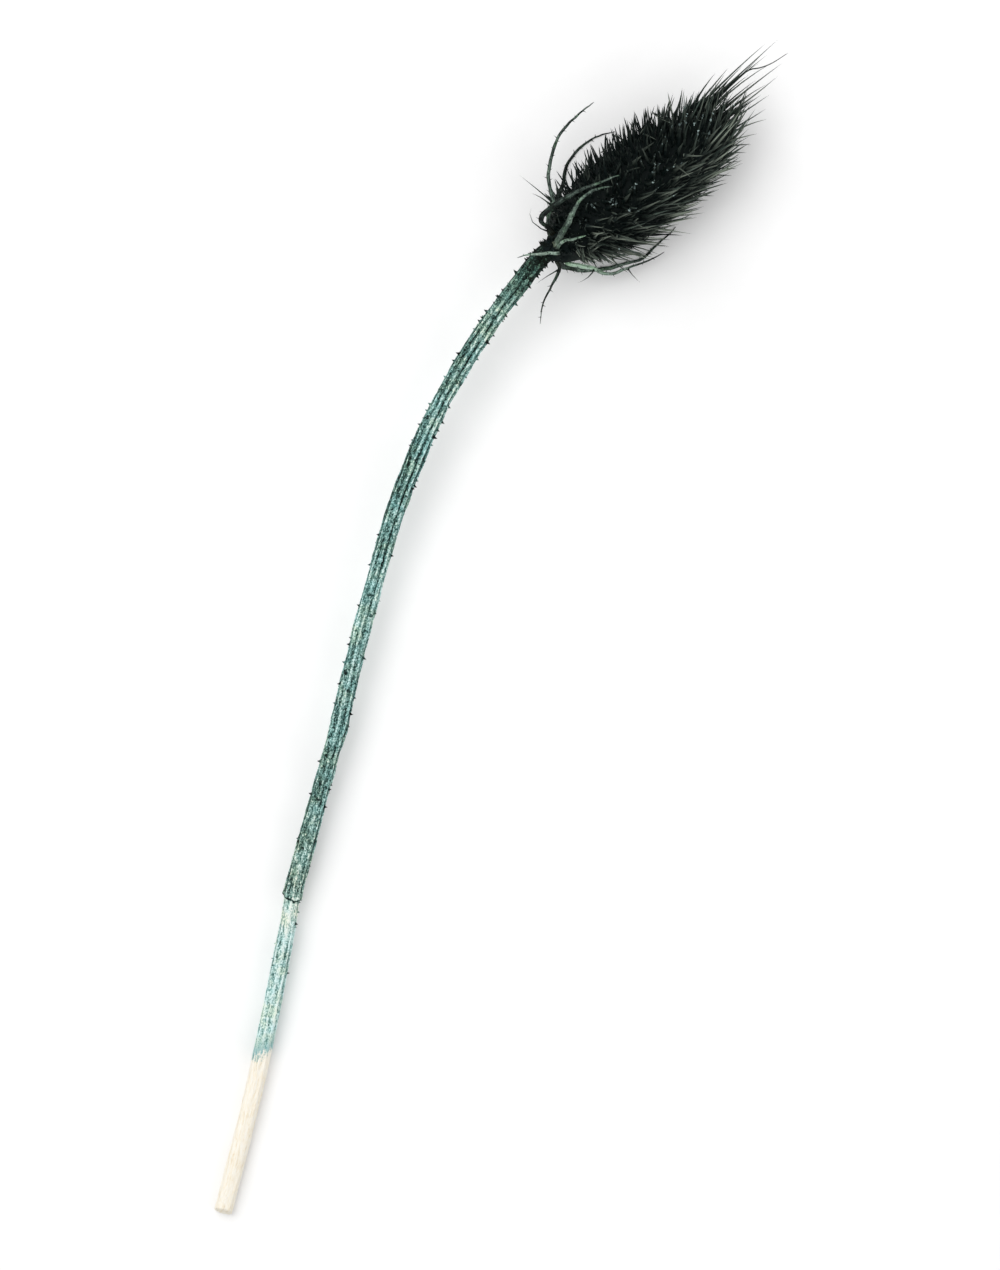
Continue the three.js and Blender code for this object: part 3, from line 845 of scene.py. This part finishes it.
def spine_wear(spot, stray, rng):
    """How far the dye of a spine is worn off, and the seed of its tone."""
    lightness = max(0.9 * spot.brushed, (0.5 + 0.5 * spot.left) * spot.front)
    lightness += 0.6 * spot.brushed**2 * spot.front
    pale = lightness * lerp(1.6 * rng.random() ** 1.5, 0.55, 0.4 * spot.front)
    pale += 0.14 * rng.random() ** 2 + 0.2 * spot.low_right * fade(spot.along, 12, 22)
    seed = rng.random() * lerp(0.6, 0.78, spot.brushed)
    if stray:
        pale += rng.uniform(0.05, 0.35)
    if rng.random() < PALEST_SHARE * spot.brushed * ease(spot.along, 12, 24):
        return 0.95, rng.uniform(0.66, 0.77)
    return pale, seed


def grow_spine(skin, spot, clumps, bract_lines, rng):
    """One spine, unless it is missing or too close to a bract. Gives back its course, or None."""
    stray = rng.random() < STRAY_SHARE
    direction = spine_direction(spot, rng.normal(0, STRAY_JITTER if stray else SPINE_JITTER, 3))
    length = spine_length(spot, rng)
    clump_feet, clump_ways = clumps
    nearest = np.argmin(np.linalg.norm(clump_feet - spot.foot, axis=1))
    gathered = clump_feet[nearest] + clump_ways[nearest] * length - spot.foot
    pull = 0 if stray else clump_pull(spot, rng)
    direction = unit(lerp(direction * length, gathered, pull))
    direction = keep_above_floor(spot.foot, direction, length)
    root, tip = spot.ends(direction, length, SPINE_SINK)
    missing = rng.random() < gap_share(spot)
    if missing or near_bract(root, tip, bract_lines):
        return None
    bow = -unit(FORWARD + spot.out * 0.2) * length * rng.uniform(0.0, 0.08) + rng.normal(0, 0.03, 3) * length
    if tip[2] < NEAR_FLOOR:
        bow[2] = abs(bow[2]) * 0.3
    widths = spine_widths(spot, rng)
    pale, seed = spine_wear(spot, stray, rng)
    spine(skin, root, tip, bow, spot.inner, widths, pale, seed)
    return SimpleNamespace(spot=spot, root=root, tip=tip, bow=bow)


def head_spines(skin, bract_lines):
    """The spines in golden-angle spirals. Gives back their courses."""
    rng = np.random.default_rng(SPINE_SEED)
    alongs = even_places(SPINE_COUNT, 0.5)
    alongs = np.minimum(alongs + rng.normal(0, 0.25, SPINE_COUNT), CORE_LENGTH - 0.2)
    angles = np.arange(SPINE_COUNT) * GOLDEN_TURN + rng.normal(0, 0.02, SPINE_COUNT)
    clumps = clump_centres(rng)
    grown = []
    for number, (along, angle) in enumerate(zip(alongs, angles)):
        own_rng = np.random.default_rng((SPINE_SEED, number))
        grown.append(grow_spine(skin, Spot(along, angle), clumps, bract_lines, own_rng))
    return [course for course in grown if course]


# Bristles between the spines, and stubs round the foot of the head

BRISTLE_COUNT = 2200
BRISTLE_LENGTHS = (1.2, 2.9)
BRISTLE_SINK = 0.6
STUB_COUNT = 120
STUB_PLACES = (-3.2, 4.2)
STUB_LENGTHS = (1.2, 3.4)
STUB_ROOT = 0.8
STUB_SINK = 0.3
# one broad dry scale on the collar's right
SCALE_ROOT = (-2.2, -2.4, 19.2)
SCALE_TIP = (6.4, -8.4, 17.0)


def head_bristles(skin, rng):
    """Short dry remains of the florets."""
    for number, along in enumerate(even_places(BRISTLE_COUNT, 0.2)):
        spot = Spot(along, (number + 0.5) * GOLDEN_TURN + rng.normal(0, 0.06))
        direction = spine_direction(spot, rng.uniform(-0.35, 0.35, 3))
        length = rng.uniform(*BRISTLE_LENGTHS) * lerp(1.0, 1.5, spot.brushed) * (1 - 0.45 * spot.low_left)
        bare = max(ease(along, 26, 48), 0.6 * fade(along, 8, 20))
        pale = (0.12 + 0.75 * spot.brushed * bare) * rng.random()
        direction = keep_above_floor(spot.foot, direction, length)
        root, tip = spot.ends(direction, length, BRISTLE_SINK)
        bow = rng.normal(0, 0.15, 3)
        widths = NEEDLE * rng.uniform(0.6, 1.0)
        spine(skin, root, tip, bow, spot.inner, widths, pale, rng.uniform(0, 0.7))


def stub_ground(along):
    """How far off the axis a stub's foot is."""
    if along < 0:
        return np.interp(along, COLLAR_ALONG, COLLAR_RADII) - STUB_SINK
    return max(CORE_FOOT_RADIUS, float(core_radius(along)) - 2 * STUB_SINK)


def collar_stubs(skin, rng):
    """Stubs round the foot of the head, longer on its right, and a broad scale."""
    for number in range(STUB_COUNT):
        along = rng.uniform(*STUB_PLACES)
        spot = Spot(along, number * GOLDEN_TURN)
        direction = unit(spot.out + FORWARD * rng.uniform(-0.1, 0.9) + rng.normal(0, 0.2, 3))
        foot = axis_point(along) + spot.out * stub_ground(along)
        on_right = math.cos(spot.angle) < -0.3
        length = rng.uniform(*STUB_LENGTHS) * (1.5 if on_right else 1.0) * lerp(0.4, 1.0, ease(along, -3, 1))
        bow = rng.normal(0, 0.15, 3)
        widths = DAGGER * rng.uniform(0.7, 1.1)
        root = foot - direction * STUB_ROOT
        spine(skin, root, foot + direction * length, bow, spot.inner, widths, 0.0, rng.uniform(0, 0.8))
    bow = UP * 1.2 - LEFT * 0.6
    spine(skin, head_point(*SCALE_ROOT), head_point(*SCALE_TIP), bow, UP - LEFT, DAGGER * 2.0, 0.16, 0.3)


# The tuft at the head's tip

# long awns: places of their tips along and to the left of the head's axis, and how far they bow to the left
TUFT_TIPS = [
    (79.8, 11.6, 0), (83.9, 10.7, -0.5), (77.1, 2, 0), (73.8, 2.2, 0.4), (69.2, -3.3, 0),
    (62.8, -7.8, 0.8), (76.5, 9.6, 0.3), (73.5, 9, 0.6), (75, 8, 1.2), (71, 10.5, 0),
    (78, 8.6, 1), (70.5, 7.2, 0.5), (67, 12.2, 0), (65, 11.4, 0), (66.5, 10, 0),
    (71.5, 5, 0), (68, 1, 0), (72.3, -0.7, 0.3), (67.6, -5.9, 0.4), (59.4, -9.4, 0),
    (56.9, -10.5, 0.5), (54.2, -11.4, 0), (52.4, -12.4, 0.4), (49.9, -13.2, 0), (63.1, 13.2, 0),
    (53, 15.4, 0), (50, 14.8, 0), (80.5, 4.4, 0.5), (78.8, 6.2, 0.8), (70.3, 0.6, 0)]
# a stout, kinked awn: places along and to the left of the head's axis, and above it
KINKED_AWN = [
    (56, 5.4, 1), (61.6, 7, 2), (65.7, 7.9, 2.6), (70.8, 8.3, 3.4), (73.6, 8.1, 3.6), (76, 6.9, 3.8),
    (79.3, 6, 3.6), (85.3, 5.6, 3.2)]
AWN_RADIUS = 0.42
# slender spines round the tip
END_COUNT = 30
END_LENGTHS = (14, 9)  # at the tip and farther back
END_REACH = 6.5
END_SINK = 1.2


def kinked_awn(skin):
    share = np.linspace(0, 1, 30)
    middle, _, above, across = Path([axis_point(*place) for place in KINKED_AWN]).frame(share, UP)
    turn = turns(sides=6)[:, None]
    circle = above[:, None] * np.cos(turn) + across[:, None] * np.sin(turn)
    rings = middle[:, None] + circle * (AWN_RADIUS * (1 - 0.8 * share))[:, None, None]
    skin.loft(rings[:-1], middle[0], middle[-1], tip_share=share[:-1], seed=0.3, pale=0.1)


def head_tuft(skin):
    """Long fine awns, and slender spines round the tip."""
    rng = np.random.default_rng(TUFT_SEED)
    kinked_awn(skin)
    for number, (along, left, bow_left) in enumerate(TUFT_TIPS):
        start = min(53.5 + (number * 5 % 4), along - 8 + abs(left) * 0.2)
        foot = axis_point(start, lerp(1.5, left, 0.62), rng.uniform(-2.5, 4.0))
        tip = axis_point(along + 2.0, left, rng.uniform(-3.5, 6.0))
        bow = rng.normal(0, 0.3, 3) + LEFT * bow_left
        widths = NEEDLE * rng.uniform(0.9, 1.15)
        spine(skin, foot, tip, bow, UP, widths, rng.uniform(0.1, 0.6), rng.uniform(0.1, 0.75))
    for number in range(END_COUNT):
        share = number / END_COUNT
        spot = Spot(CORE_LENGTH - 0.4 - END_REACH * share, number * GOLDEN_TURN)
        direction = spine_direction(spot, LEFT * 0.12 + rng.normal(0, 0.1, 3))
        length = lerp(*END_LENGTHS, share) * rng.uniform(0.7, 1.05)
        root, tip = spot.ends(direction, length, END_SINK)
        bow = rng.normal(0, 0.04, 3) * length
        widths = NEEDLE * rng.uniform(0.7, 0.95)
        spine(skin, root, tip, bow, spot.inner, widths, rng.uniform(0.0, 0.5), rng.uniform(0.1, 0.75))


# Scraps caught on the head

# broken pale spines that lie across the others: both ends along and to the left of the head's axis, the
# height over the core, and the paleness
LOOSE_SPINES = [
    ((9.1, -0.7), (13.2, -4.6), 4.6, 0.45), ((12, -1.5), (16.4, -3.3), 5, 0.3),
    ((14.6, -8.3), (19.7, -12.3), 4, 0.5), ((21.1, -8.4), (23.7, -12), 4.2, 0.75),
    ((16, -4.3), (22.6, -5.8), 4.8, 0.4), ((43.2, -0.9), (48.1, -4.4), 5.4, 0.7),
    ((39.5, -1.6), (41.4, -7.5), 5, 0.6), ((20.3, -8.2), (22.6, -7.9), 4.4, 0.5),
    ((3.9, -3), (6, -5.3), 2.6, 0.6), ((6, -6.3), (11.6, -6.4), 2.8, 0.75),
    ((6.3, -7.2), (10.2, -7.4), 3, 0.6), ((9, -5), (11.5, -4.8), 3.6, 0.7)]
# where chaff has caught between the spines on top: places along and to the left of the head's axis
CHAFF_SPOTS = np.array([
    (52, 2), (48, 6), (45, 4), (42, 2), (39, 0.5), (35, 1.5), (34, -1), (32, -4), (26, -3), (21, -1.5),
    (14, 1)])
CHAFF_SPREAD = 4.2
CHAFF_LOWEST = 3  # over the head's axis
CHAFF_MOST = 2.1  # on one spine
CHAFF_PATCHES = [(1.2, 7, 5.0)]  # thinner chaff all over: strength, cells round the head and cell length
CHAFF_TONE = 0.8
SHRED_EVERY = 15  # spines
SHRED_PLACES = (5, CORE_LENGTH - 6)
SHRED_LENGTHS = (1.5, 5.0)


def over_core(along, left, gap):
    rise = math.sqrt(max(0.0, float(core_radius(along)) ** 2 - left**2))
    return axis_point(along, left, rise + gap)


def caught_share(course):
    """How much chaff is caught about a spine, from 0 to 1."""
    outer = lerp(course.root, course.tip, 0.7) - HEAD_BASE
    if outer[2] <= CHAFF_LOWEST:
        return 0.0
    place = np.array([outer @ FORWARD, outer @ LEFT])
    return np.exp(-np.sum((CHAFF_SPOTS - place) ** 2, axis=1) / CHAFF_SPREAD**2).max()


def chaff_scrap(skin, course, caught, rng):
    share = rng.uniform(lerp(0.45, 0.7, caught), lerp(0.8, 1.0, caught))
    at = bowed(course.root, course.tip, course.bow, share)
    if at[2] < NEAR_FLOOR:
        return
    lie = unit(rng.normal(0, 1, 3) + unit(course.tip - course.root))
    size = (0.13 + 0.26 * rng.random() ** 1.5) * lerp(0.8, 1.4, caught)
    tip = at + lie * size * rng.uniform(1.0, 2.0)
    bow = rng.normal(0, 0.06, 3)
    seed = CHAFF_TONE + (1 - CHAFF_TONE) * rng.random() ** lerp(1.5, 1.2, caught)
    spike(skin, at - lie * size, tip, bow, size, sides=5, flare=0.5, tip_share=0.0, seed=seed, pale=1.0)


def head_scraps(skin, grown):
    """Chaff stuck to the spines, and broken spines and shreds caught across them."""
    rng = np.random.default_rng(SCRAP_SEED)
    angles = np.array([course.spot.angle for course in grown])
    alongs = np.array([course.spot.along for course in grown])
    for course, many in zip(grown, noise_sum(angles, alongs, CHAFF_PATCHES, rng)):
        caught = caught_share(course)
        in_spot = min(CHAFF_MOST, 5.0 * caught * rng.uniform(0.3, 1.5))
        for _ in range(int(in_spot + max(0.0, many) + rng.uniform(-0.3, 0.6))):
            chaff_scrap(skin, course, caught, rng)
    for start, end, gap, pale in LOOSE_SPINES:
        root = over_core(*start, gap)
        tip = over_core(*end, gap)
        bow = rng.normal(0, 0.2, 3)
        widths = NEEDLE * rng.uniform(0.65, 0.8)
        spine(skin, root, tip, bow, UP, widths, pale, rng.uniform(0.5, 0.75))
    for course in grown[::SHRED_EVERY]:
        at = lerp(course.root, course.tip, rng.uniform(0.5, 0.8))
        length = rng.uniform(*SHRED_LENGTHS)
        lie = unit(FORWARD * 0.8 - LEFT * 0.5 + rng.normal(0, 0.45, 3))
        if at[2] < HEAD_BASE[2] or not SHRED_PLACES[0] < course.spot.along < SHRED_PLACES[1]:
            continue
        half = lie * length / 2
        bow = rng.normal(0, 0.25, 3)
        widths = NEEDLE * rng.uniform(0.3, 0.55)
        spine(skin, at - half, at + half, bow, UP, widths, rng.uniform(0.3, 0.7), rng.uniform(0.3, 0.75))


# The bracts under the head: paths as in the part's source, by places along and left of the head and heights

BACK_OVER_HEAD = unit(UP - FORWARD)
OVER_STEM = unit(UP + FORWARD)
BRACTS = {
    "bract_left_long": dict(
        path=[(0, 3.4, 17.9), (2.2, 7.2, 18.8), (6.2, 11, 18.4), (8.2, 16, 17.4), (12.3, 20.9, 16.2),
              (18.2, 24.8, 15), (25, 26.7, 14.2), (32.4, 27, 14)],
        up=UP, width=1.4, taper=0.5, tones=(0.3, 0.45, 0.32, 0.28)),
    "bract_left_resting": dict(
        path=[(0.6, 2.6, 14.2), (2.2, 6.2, 8.4), (5, 9.6, 2.4), (8.3, 11.8, 0.2), (11.6, 13.9, 0),
              (15, 16.8, 0), (20.4, 19.3, 0), (27.5, 19.6, 0), (33, 17.6, 0)],
        up=UP, width=1.9, tones=(0.2, 0.15, 0.12, 0.2)),
    "bract_top_left": dict(
        path=[(0.8, 2.8, 19.8), (0.4, 6, 23.2), (0, 7.5, 24.6), (0.5, 8.6, 25.6), (2.2, 9.2, 26.4),
              (5, 9.5, 27.4), (9, 9.2, 29.2), (15.5, 8, 32.2), (21, 6.4, 34.1), (24.9, 5, 35)],
        up=BACK_OVER_HEAD, width=2.2, tones=(0, 0.02, 0.08, 0.2, 0.32, 0.38, 0.42)),
    "bract_top_broad": dict(
        path=[(-0.6, 0.3, 20.7), (1.2, 0.9, 24.4), (5.6, 2.9, 28.8), (10.7, 5.3, 32.6), (14.4, 6, 34.3),
              (17.4, 5.6, 35.2), (19.6, 4.7, 35.5), (21.3, 3.7, 35.4)],
        up=BACK_OVER_HEAD, width=2.4, earth=0.9, tones=(0.4, 0.44, 0.42, 0.4, 0.3)),
    "bract_top_short": dict(
        path=[(-0.6, -0.9, 20.2), (0.2, -0.7, 24.2), (1.9, -0.7, 26.8), (4.6, -1.8, 29.1),
              (7.5, -2.8, 30.9)],
        up=BACK_OVER_HEAD, width=1.3, taper=0.5, tones=(0.3, 0.5, 0.62, 0.62)),
    "bract_bent_back": dict(
        path=[(-2.4, -1.7, 20.6), (-1.6, -2.1, 23.2), (-2.4, -1.6, 24.9), (-4.6, -0.2, 25.6),
              (-7, 1.4, 25.6), (-9.4, 2.6, 25), (-11.6, 3.4, 24.2)],
        up=OVER_STEM, width=1.6, tones=(0.1, 0.1, 0.3, 0.75, 0.6, 0.7, 0.58, 0.4)),
    "bract_right_pale": dict(
        path=[(-1.4, -3.2, 17.5), (-0.6, -6.2, 16.8), (1.1, -8.2, 15), (4.2, -10.6, 12), (6.5, -14.1, 9.2),
              (9.2, -15.7, 8), (12.2, -16.6, 7), (18.5, -18.2, 5.6), (23.9, -18.8, 5)],
        up=UP, width=1.6, tones=(0.3, 0.95, 1.05, 0.75, 0.6, 0.3, 0.1)),
    "bract_right_resting": dict(
        path=[(-2.6, -2.6, 15.5), (-2, -5.5, 9.5), (0.8, -8.3, 3), (4, -10.7, 0.3), (7.2, -12.6, 0),
              (12.2, -14.8, 0), (18, -16.5, 0), (25, -16.1, 0), (31, -14.9, 0)],
        up=UP, width=1.9, tones=(0.2, 0.3, 0.5, 0.42, 0.12, 0.05)),
    "bract_right_thin": dict(
        path=[(-2.9, -3.2, 16.5), (-3.3, -5.8, 15.2), (-5, -6.9, 14.2), (-8, -8.1, 13.2),
              (-12.4, -10.6, 12), (-17.1, -14.8, 11)],
        up=UP, width=1.1, tones=(0.1, 0.15, 0.2, 0.3)),
}
# fine side hairs of the bracts: root, tip, and how far the middle bends along and to the left
HAIRS = {
    "bract_left_long": [
        ((5.9, 10.9, 18.7), (2.9, 22.6, 17), (0, 0)), ((5.1, 10.2, 18.7), (2.4, 16.4, 20), (0, 0)),
        ((0.6, 3.8, 18.6), (0.3, 13.2, 19.5), (-2.2, 0.5))],
    "bract_right_pale": [
        ((4.6, -11.4, 11.8), (-1.6, -11.8, 11.2), (0, 0)), ((12.8, -16.8, 7), (13.2, -22.2, 6.5), (0, 0))],
    "bract_right_thin": [((-3.3, -5.8, 15.3), (-11.7, -5.2, 14), (0, 0))],
}
PLAIN_BRACT = dict(earth=0.0, crest=0.0, grain_x=0.0, grain_y=0.0)  # values of prickles and hairs
HAIR_RADIUS = 0.26
HAIR_TONE = 0.22
BRACT_THICKNESS = 0.9
BRACT_TAPER = 0.8
BRACT_EARTH = 0.3
EARTH_REACH = 3.4
BRACT_ENDS = 0.3  # how far start point and tip stand off the first and last ring
BRACT_SIDES = 16
BRACT_FEWEST_STEPS = 56
BRACT_STEPS_PER_MM = 3
BRACT_GRAIN = 1.5
BRACT_GRAIN_STRETCH = 0.2
THORN_SPACING = 1.6
THORN_RADIUS = 0.15
THORN_LENGTHS = (0.45, 1.5)
# noise along a bract: strength and cell length
BRACT_SWAY = [(0.22, 4.0), (0.12, 1.7)]
BRACT_LIFT = [(0.2, 3.5)]
BRACT_ROLL = [(0.55, 7.0)]
BRACT_EDGE = [(0.16, 1.8)]
BRACT_TONE = [(0.10, 3.0)]


def bract_path(bract):
    return Path([head_point(*place) for place in bract["path"]])


def led_into_stem(bract, line):
    """The line of a bract with a foot in the stem's top."""
    first = bract["path"][0]
    foot = lerp(axis_point(first[0]), head_point(*first), 0.45) + FORWARD * 0.8
    return Path([foot, *line.point(np.linspace(0, 1, 24))])


def bract_section():
    """Across a bract: a flat underside, and thin edges that rise to a midrib between two grooves."""
    turn = turns(BRACT_SIDES)
    side = np.sin(turn)
    lift = np.cos(turn)
    ridge = 0.34 + 0.66 * np.exp(-((side / 0.38) ** 2)) + 0.16 * smoothstep(np.abs(side), 0.72, 0.95)
    rise = np.where(lift > 0, ridge, 0.0) * np.clip(3 * lift + 0.35, 0, 1)
    return side, lift, rise


def bract_blade(skin, bract, rng):
    """A narrow, uneven blade, a little twisted where it hangs free. Gives back its shape."""
    line = bract_path(bract)
    course = led_into_stem(bract, line)
    share = np.linspace(0, 1, max(BRACT_FEWEST_STEPS, int(line.length * BRACT_STEPS_PER_MM)))
    along = share * course.length
    points, tangent, above, across = course.frame(share, bract["up"])
    free = smoothstep(points[:, 2], 1.5, 4.0)
    sway = line_noise(along, BRACT_SWAY, rng)
    lift_sway = line_noise(along, BRACT_LIFT, rng) * free
    points = points + across * sway[:, None] + above * lift_sway[:, None]
    roll = line_noise(along, BRACT_ROLL, rng) * free
    over = above * np.cos(roll)[:, None] + across * np.sin(roll)[:, None]
    beside = np.cross(tangent, over)
    left_edge = 1 + line_noise(along, BRACT_EDGE, rng)
    right_edge = 1 + line_noise(along, BRACT_EDGE, rng)
    tones = bract["tones"]
    tone = np.interp(share, np.linspace(0, 1, len(tones)), tones) + line_noise(along, BRACT_TONE, rng)
    taper = 0.09 + 0.91 * (1 - share) ** bract.get("taper", BRACT_TAPER) * np.minimum(1, 0.8 + 2 * share)
    half = bract["width"] / 2 * taper * (1 + 0.35 * np.exp(-((along / 2.0) ** 2)))
    thick = (BRACT_THICKNESS - 0.3 * share) * np.minimum(1, taper + 0.25)
    side, lift, rise = bract_section()
    edge_wave = np.where(side[None] > 0, left_edge[:, None], right_edge[:, None])
    rings = points[:, None] + beside[:, None] * (half[:, None] * side * edge_wave)[..., None]
    rings = rings + over[:, None] * (thick[:, None] * rise)[..., None]
    earth = bract.get("earth", BRACT_EARTH) * np.exp(-((along / EARTH_REACH) ** 2))
    start = points[0] - tangent[0] * BRACT_ENDS
    tip = points[-1] + tangent[-1] * BRACT_ENDS
    skin.loft(
        rings, start, tip, tone=tone, earth=earth, crest=rise[None] * 2 - 1,
        grain_x=BRACT_GRAIN * side[None], grain_y=BRACT_GRAIN * lift[None],
        grain_z=along * BRACT_GRAIN_STRETCH)
    return SimpleNamespace(
        length=line.length, points=points, tangent=tangent, over=over, beside=beside, half=half,
        thick=thick, tone=tone)


def bract_prickles(skin, blade, rng):
    """Small prickles, in turn on one edge, on the midrib and on the other edge."""
    count = int(blade.length / THORN_SPACING)
    for number in range(count):
        share = 0.14 + 0.8 * (number + rng.random()) / count
        k = int(share * (len(blade.points) - 1))
        tangent = blade.tangent[k]
        way = number % 3 - 1
        upwards, height = (1.0, 0.8) if way == 0 else (0.25, 0.3)
        out = unit(blade.beside[k] * way + blade.over[k] * upwards + tangent * rng.uniform(0.1, 0.7))
        at_edge = blade.beside[k] * way * blade.half[k] * 0.85
        foot = blade.points[k] + at_edge + blade.over[k] * blade.thick[k] * height
        length = rng.uniform(*THORN_LENGTHS) * (1 - 0.3 * share)
        spike(
            skin, foot - out * 0.15, foot + out * length, tangent * 0.05, THORN_RADIUS, sides=5,
            flare=1.9, tone=blade.tone[k] * 0.55, grain_z=share * 10, **PLAIN_BRACT)


def bract_piece(name, bract, seed, material):
    rng = np.random.default_rng(seed)
    skin = Skin()
    bract_prickles(skin, bract_blade(skin, bract, rng), rng)
    for root, tip, (bend_along, bend_left) in HAIRS.get(name, ()):
        bow = FORWARD * bend_along + LEFT * bend_left + rng.normal(0, 0.35, 3)
        spike(
            skin, head_point(*root), head_point(*tip), bow, HAIR_RADIUS, sides=6, flare=1.6, tone=HAIR_TONE,
            grain_z=0.0, **PLAIN_BRACT)
    skin.piece(name + "_blade", material, name, "bract")


# Making the pieces

stem_look = stem_material()
spine_look = spine_material()
bract_look = bract_material()

stalk = stem_skin()
stem_prickles(stalk)
stalk.piece("stem_skin", stem_look, "stem", "stem")

body = Skin()
head_core(body)
bristle_rng = np.random.default_rng(BRISTLE_SEED)
head_bristles(body, bristle_rng)
collar_stubs(body, bristle_rng)
body.piece("head_core", spine_look, "head", "head")

all_bract_lines = np.vstack([bract_path(bract).point(np.linspace(0, 1, 60)) for bract in BRACTS.values()])
needles = Skin()
grown_spines = head_spines(needles, all_bract_lines)
head_tuft(needles)
head_scraps(needles, grown_spines)
needles.piece("head_spines", spine_look, "head", "head")

for bract_seed, (bract_name, bract) in enumerate(BRACTS.items(), FIRST_BRACT_SEED):
    bract_piece(bract_name, bract, bract_seed, bract_look)


# Floor, light and camera, in metres

FLOOR_REACH = 4.0
FLOOR_DROP = 0.0001
WORLD_COLOUR = (1, 1, 1, 1)
WORLD_STRENGTH = 0.70
CAMERA_LENS = 200.0
CAMERA_HEIGHT = 2.03


def area_light(name, place, target, size, power):
    data = bpy.data.lights.new(name, "AREA")
    data.shape = "DISK"
    data.size = size
    data.energy = power
    light = add_object(name, data)
    light.location = place
    light.rotation_euler = (Vector(target) - Vector(place)).to_track_quat("-Z", "Y").to_euler()


floor_corners = [(x * FLOOR_REACH, y * FLOOR_REACH, 0) for x, y in ((-1, -1), (1, -1), (1, 1), (-1, 1))]
floor_mesh = bpy.data.meshes.new("floor")
floor_mesh.from_pydata(floor_corners, [], [(0, 1, 2, 3)])
floor_mesh.materials.append(floor_material())
floor = add_object("floor", floor_mesh)
floor.location.z = -FLOOR_DROP

area_light("key", place=(-0.55, 0.5, 1.5), target=(0, 0.05, 0), size=1.5, power=15)
area_light("fill", place=(1.1, -0.5, 1.3), target=(0, 0, 0), size=1.4, power=3)

world = bpy.data.worlds.new("studio")
world.use_nodes = True
background = world.node_tree.nodes["Background"].inputs
background["Color"].default_value = WORLD_COLOUR
background["Strength"].default_value = WORLD_STRENGTH
bpy.context.scene.world = world
bpy.context.scene.view_settings.view_transform = "Standard"

camera_data = bpy.data.cameras.new("camera")
camera_data.lens = CAMERA_LENS
camera = add_object("camera", camera_data)
camera.location = (0.0, 0.0, CAMERA_HEIGHT)
bpy.context.scene.camera = camera
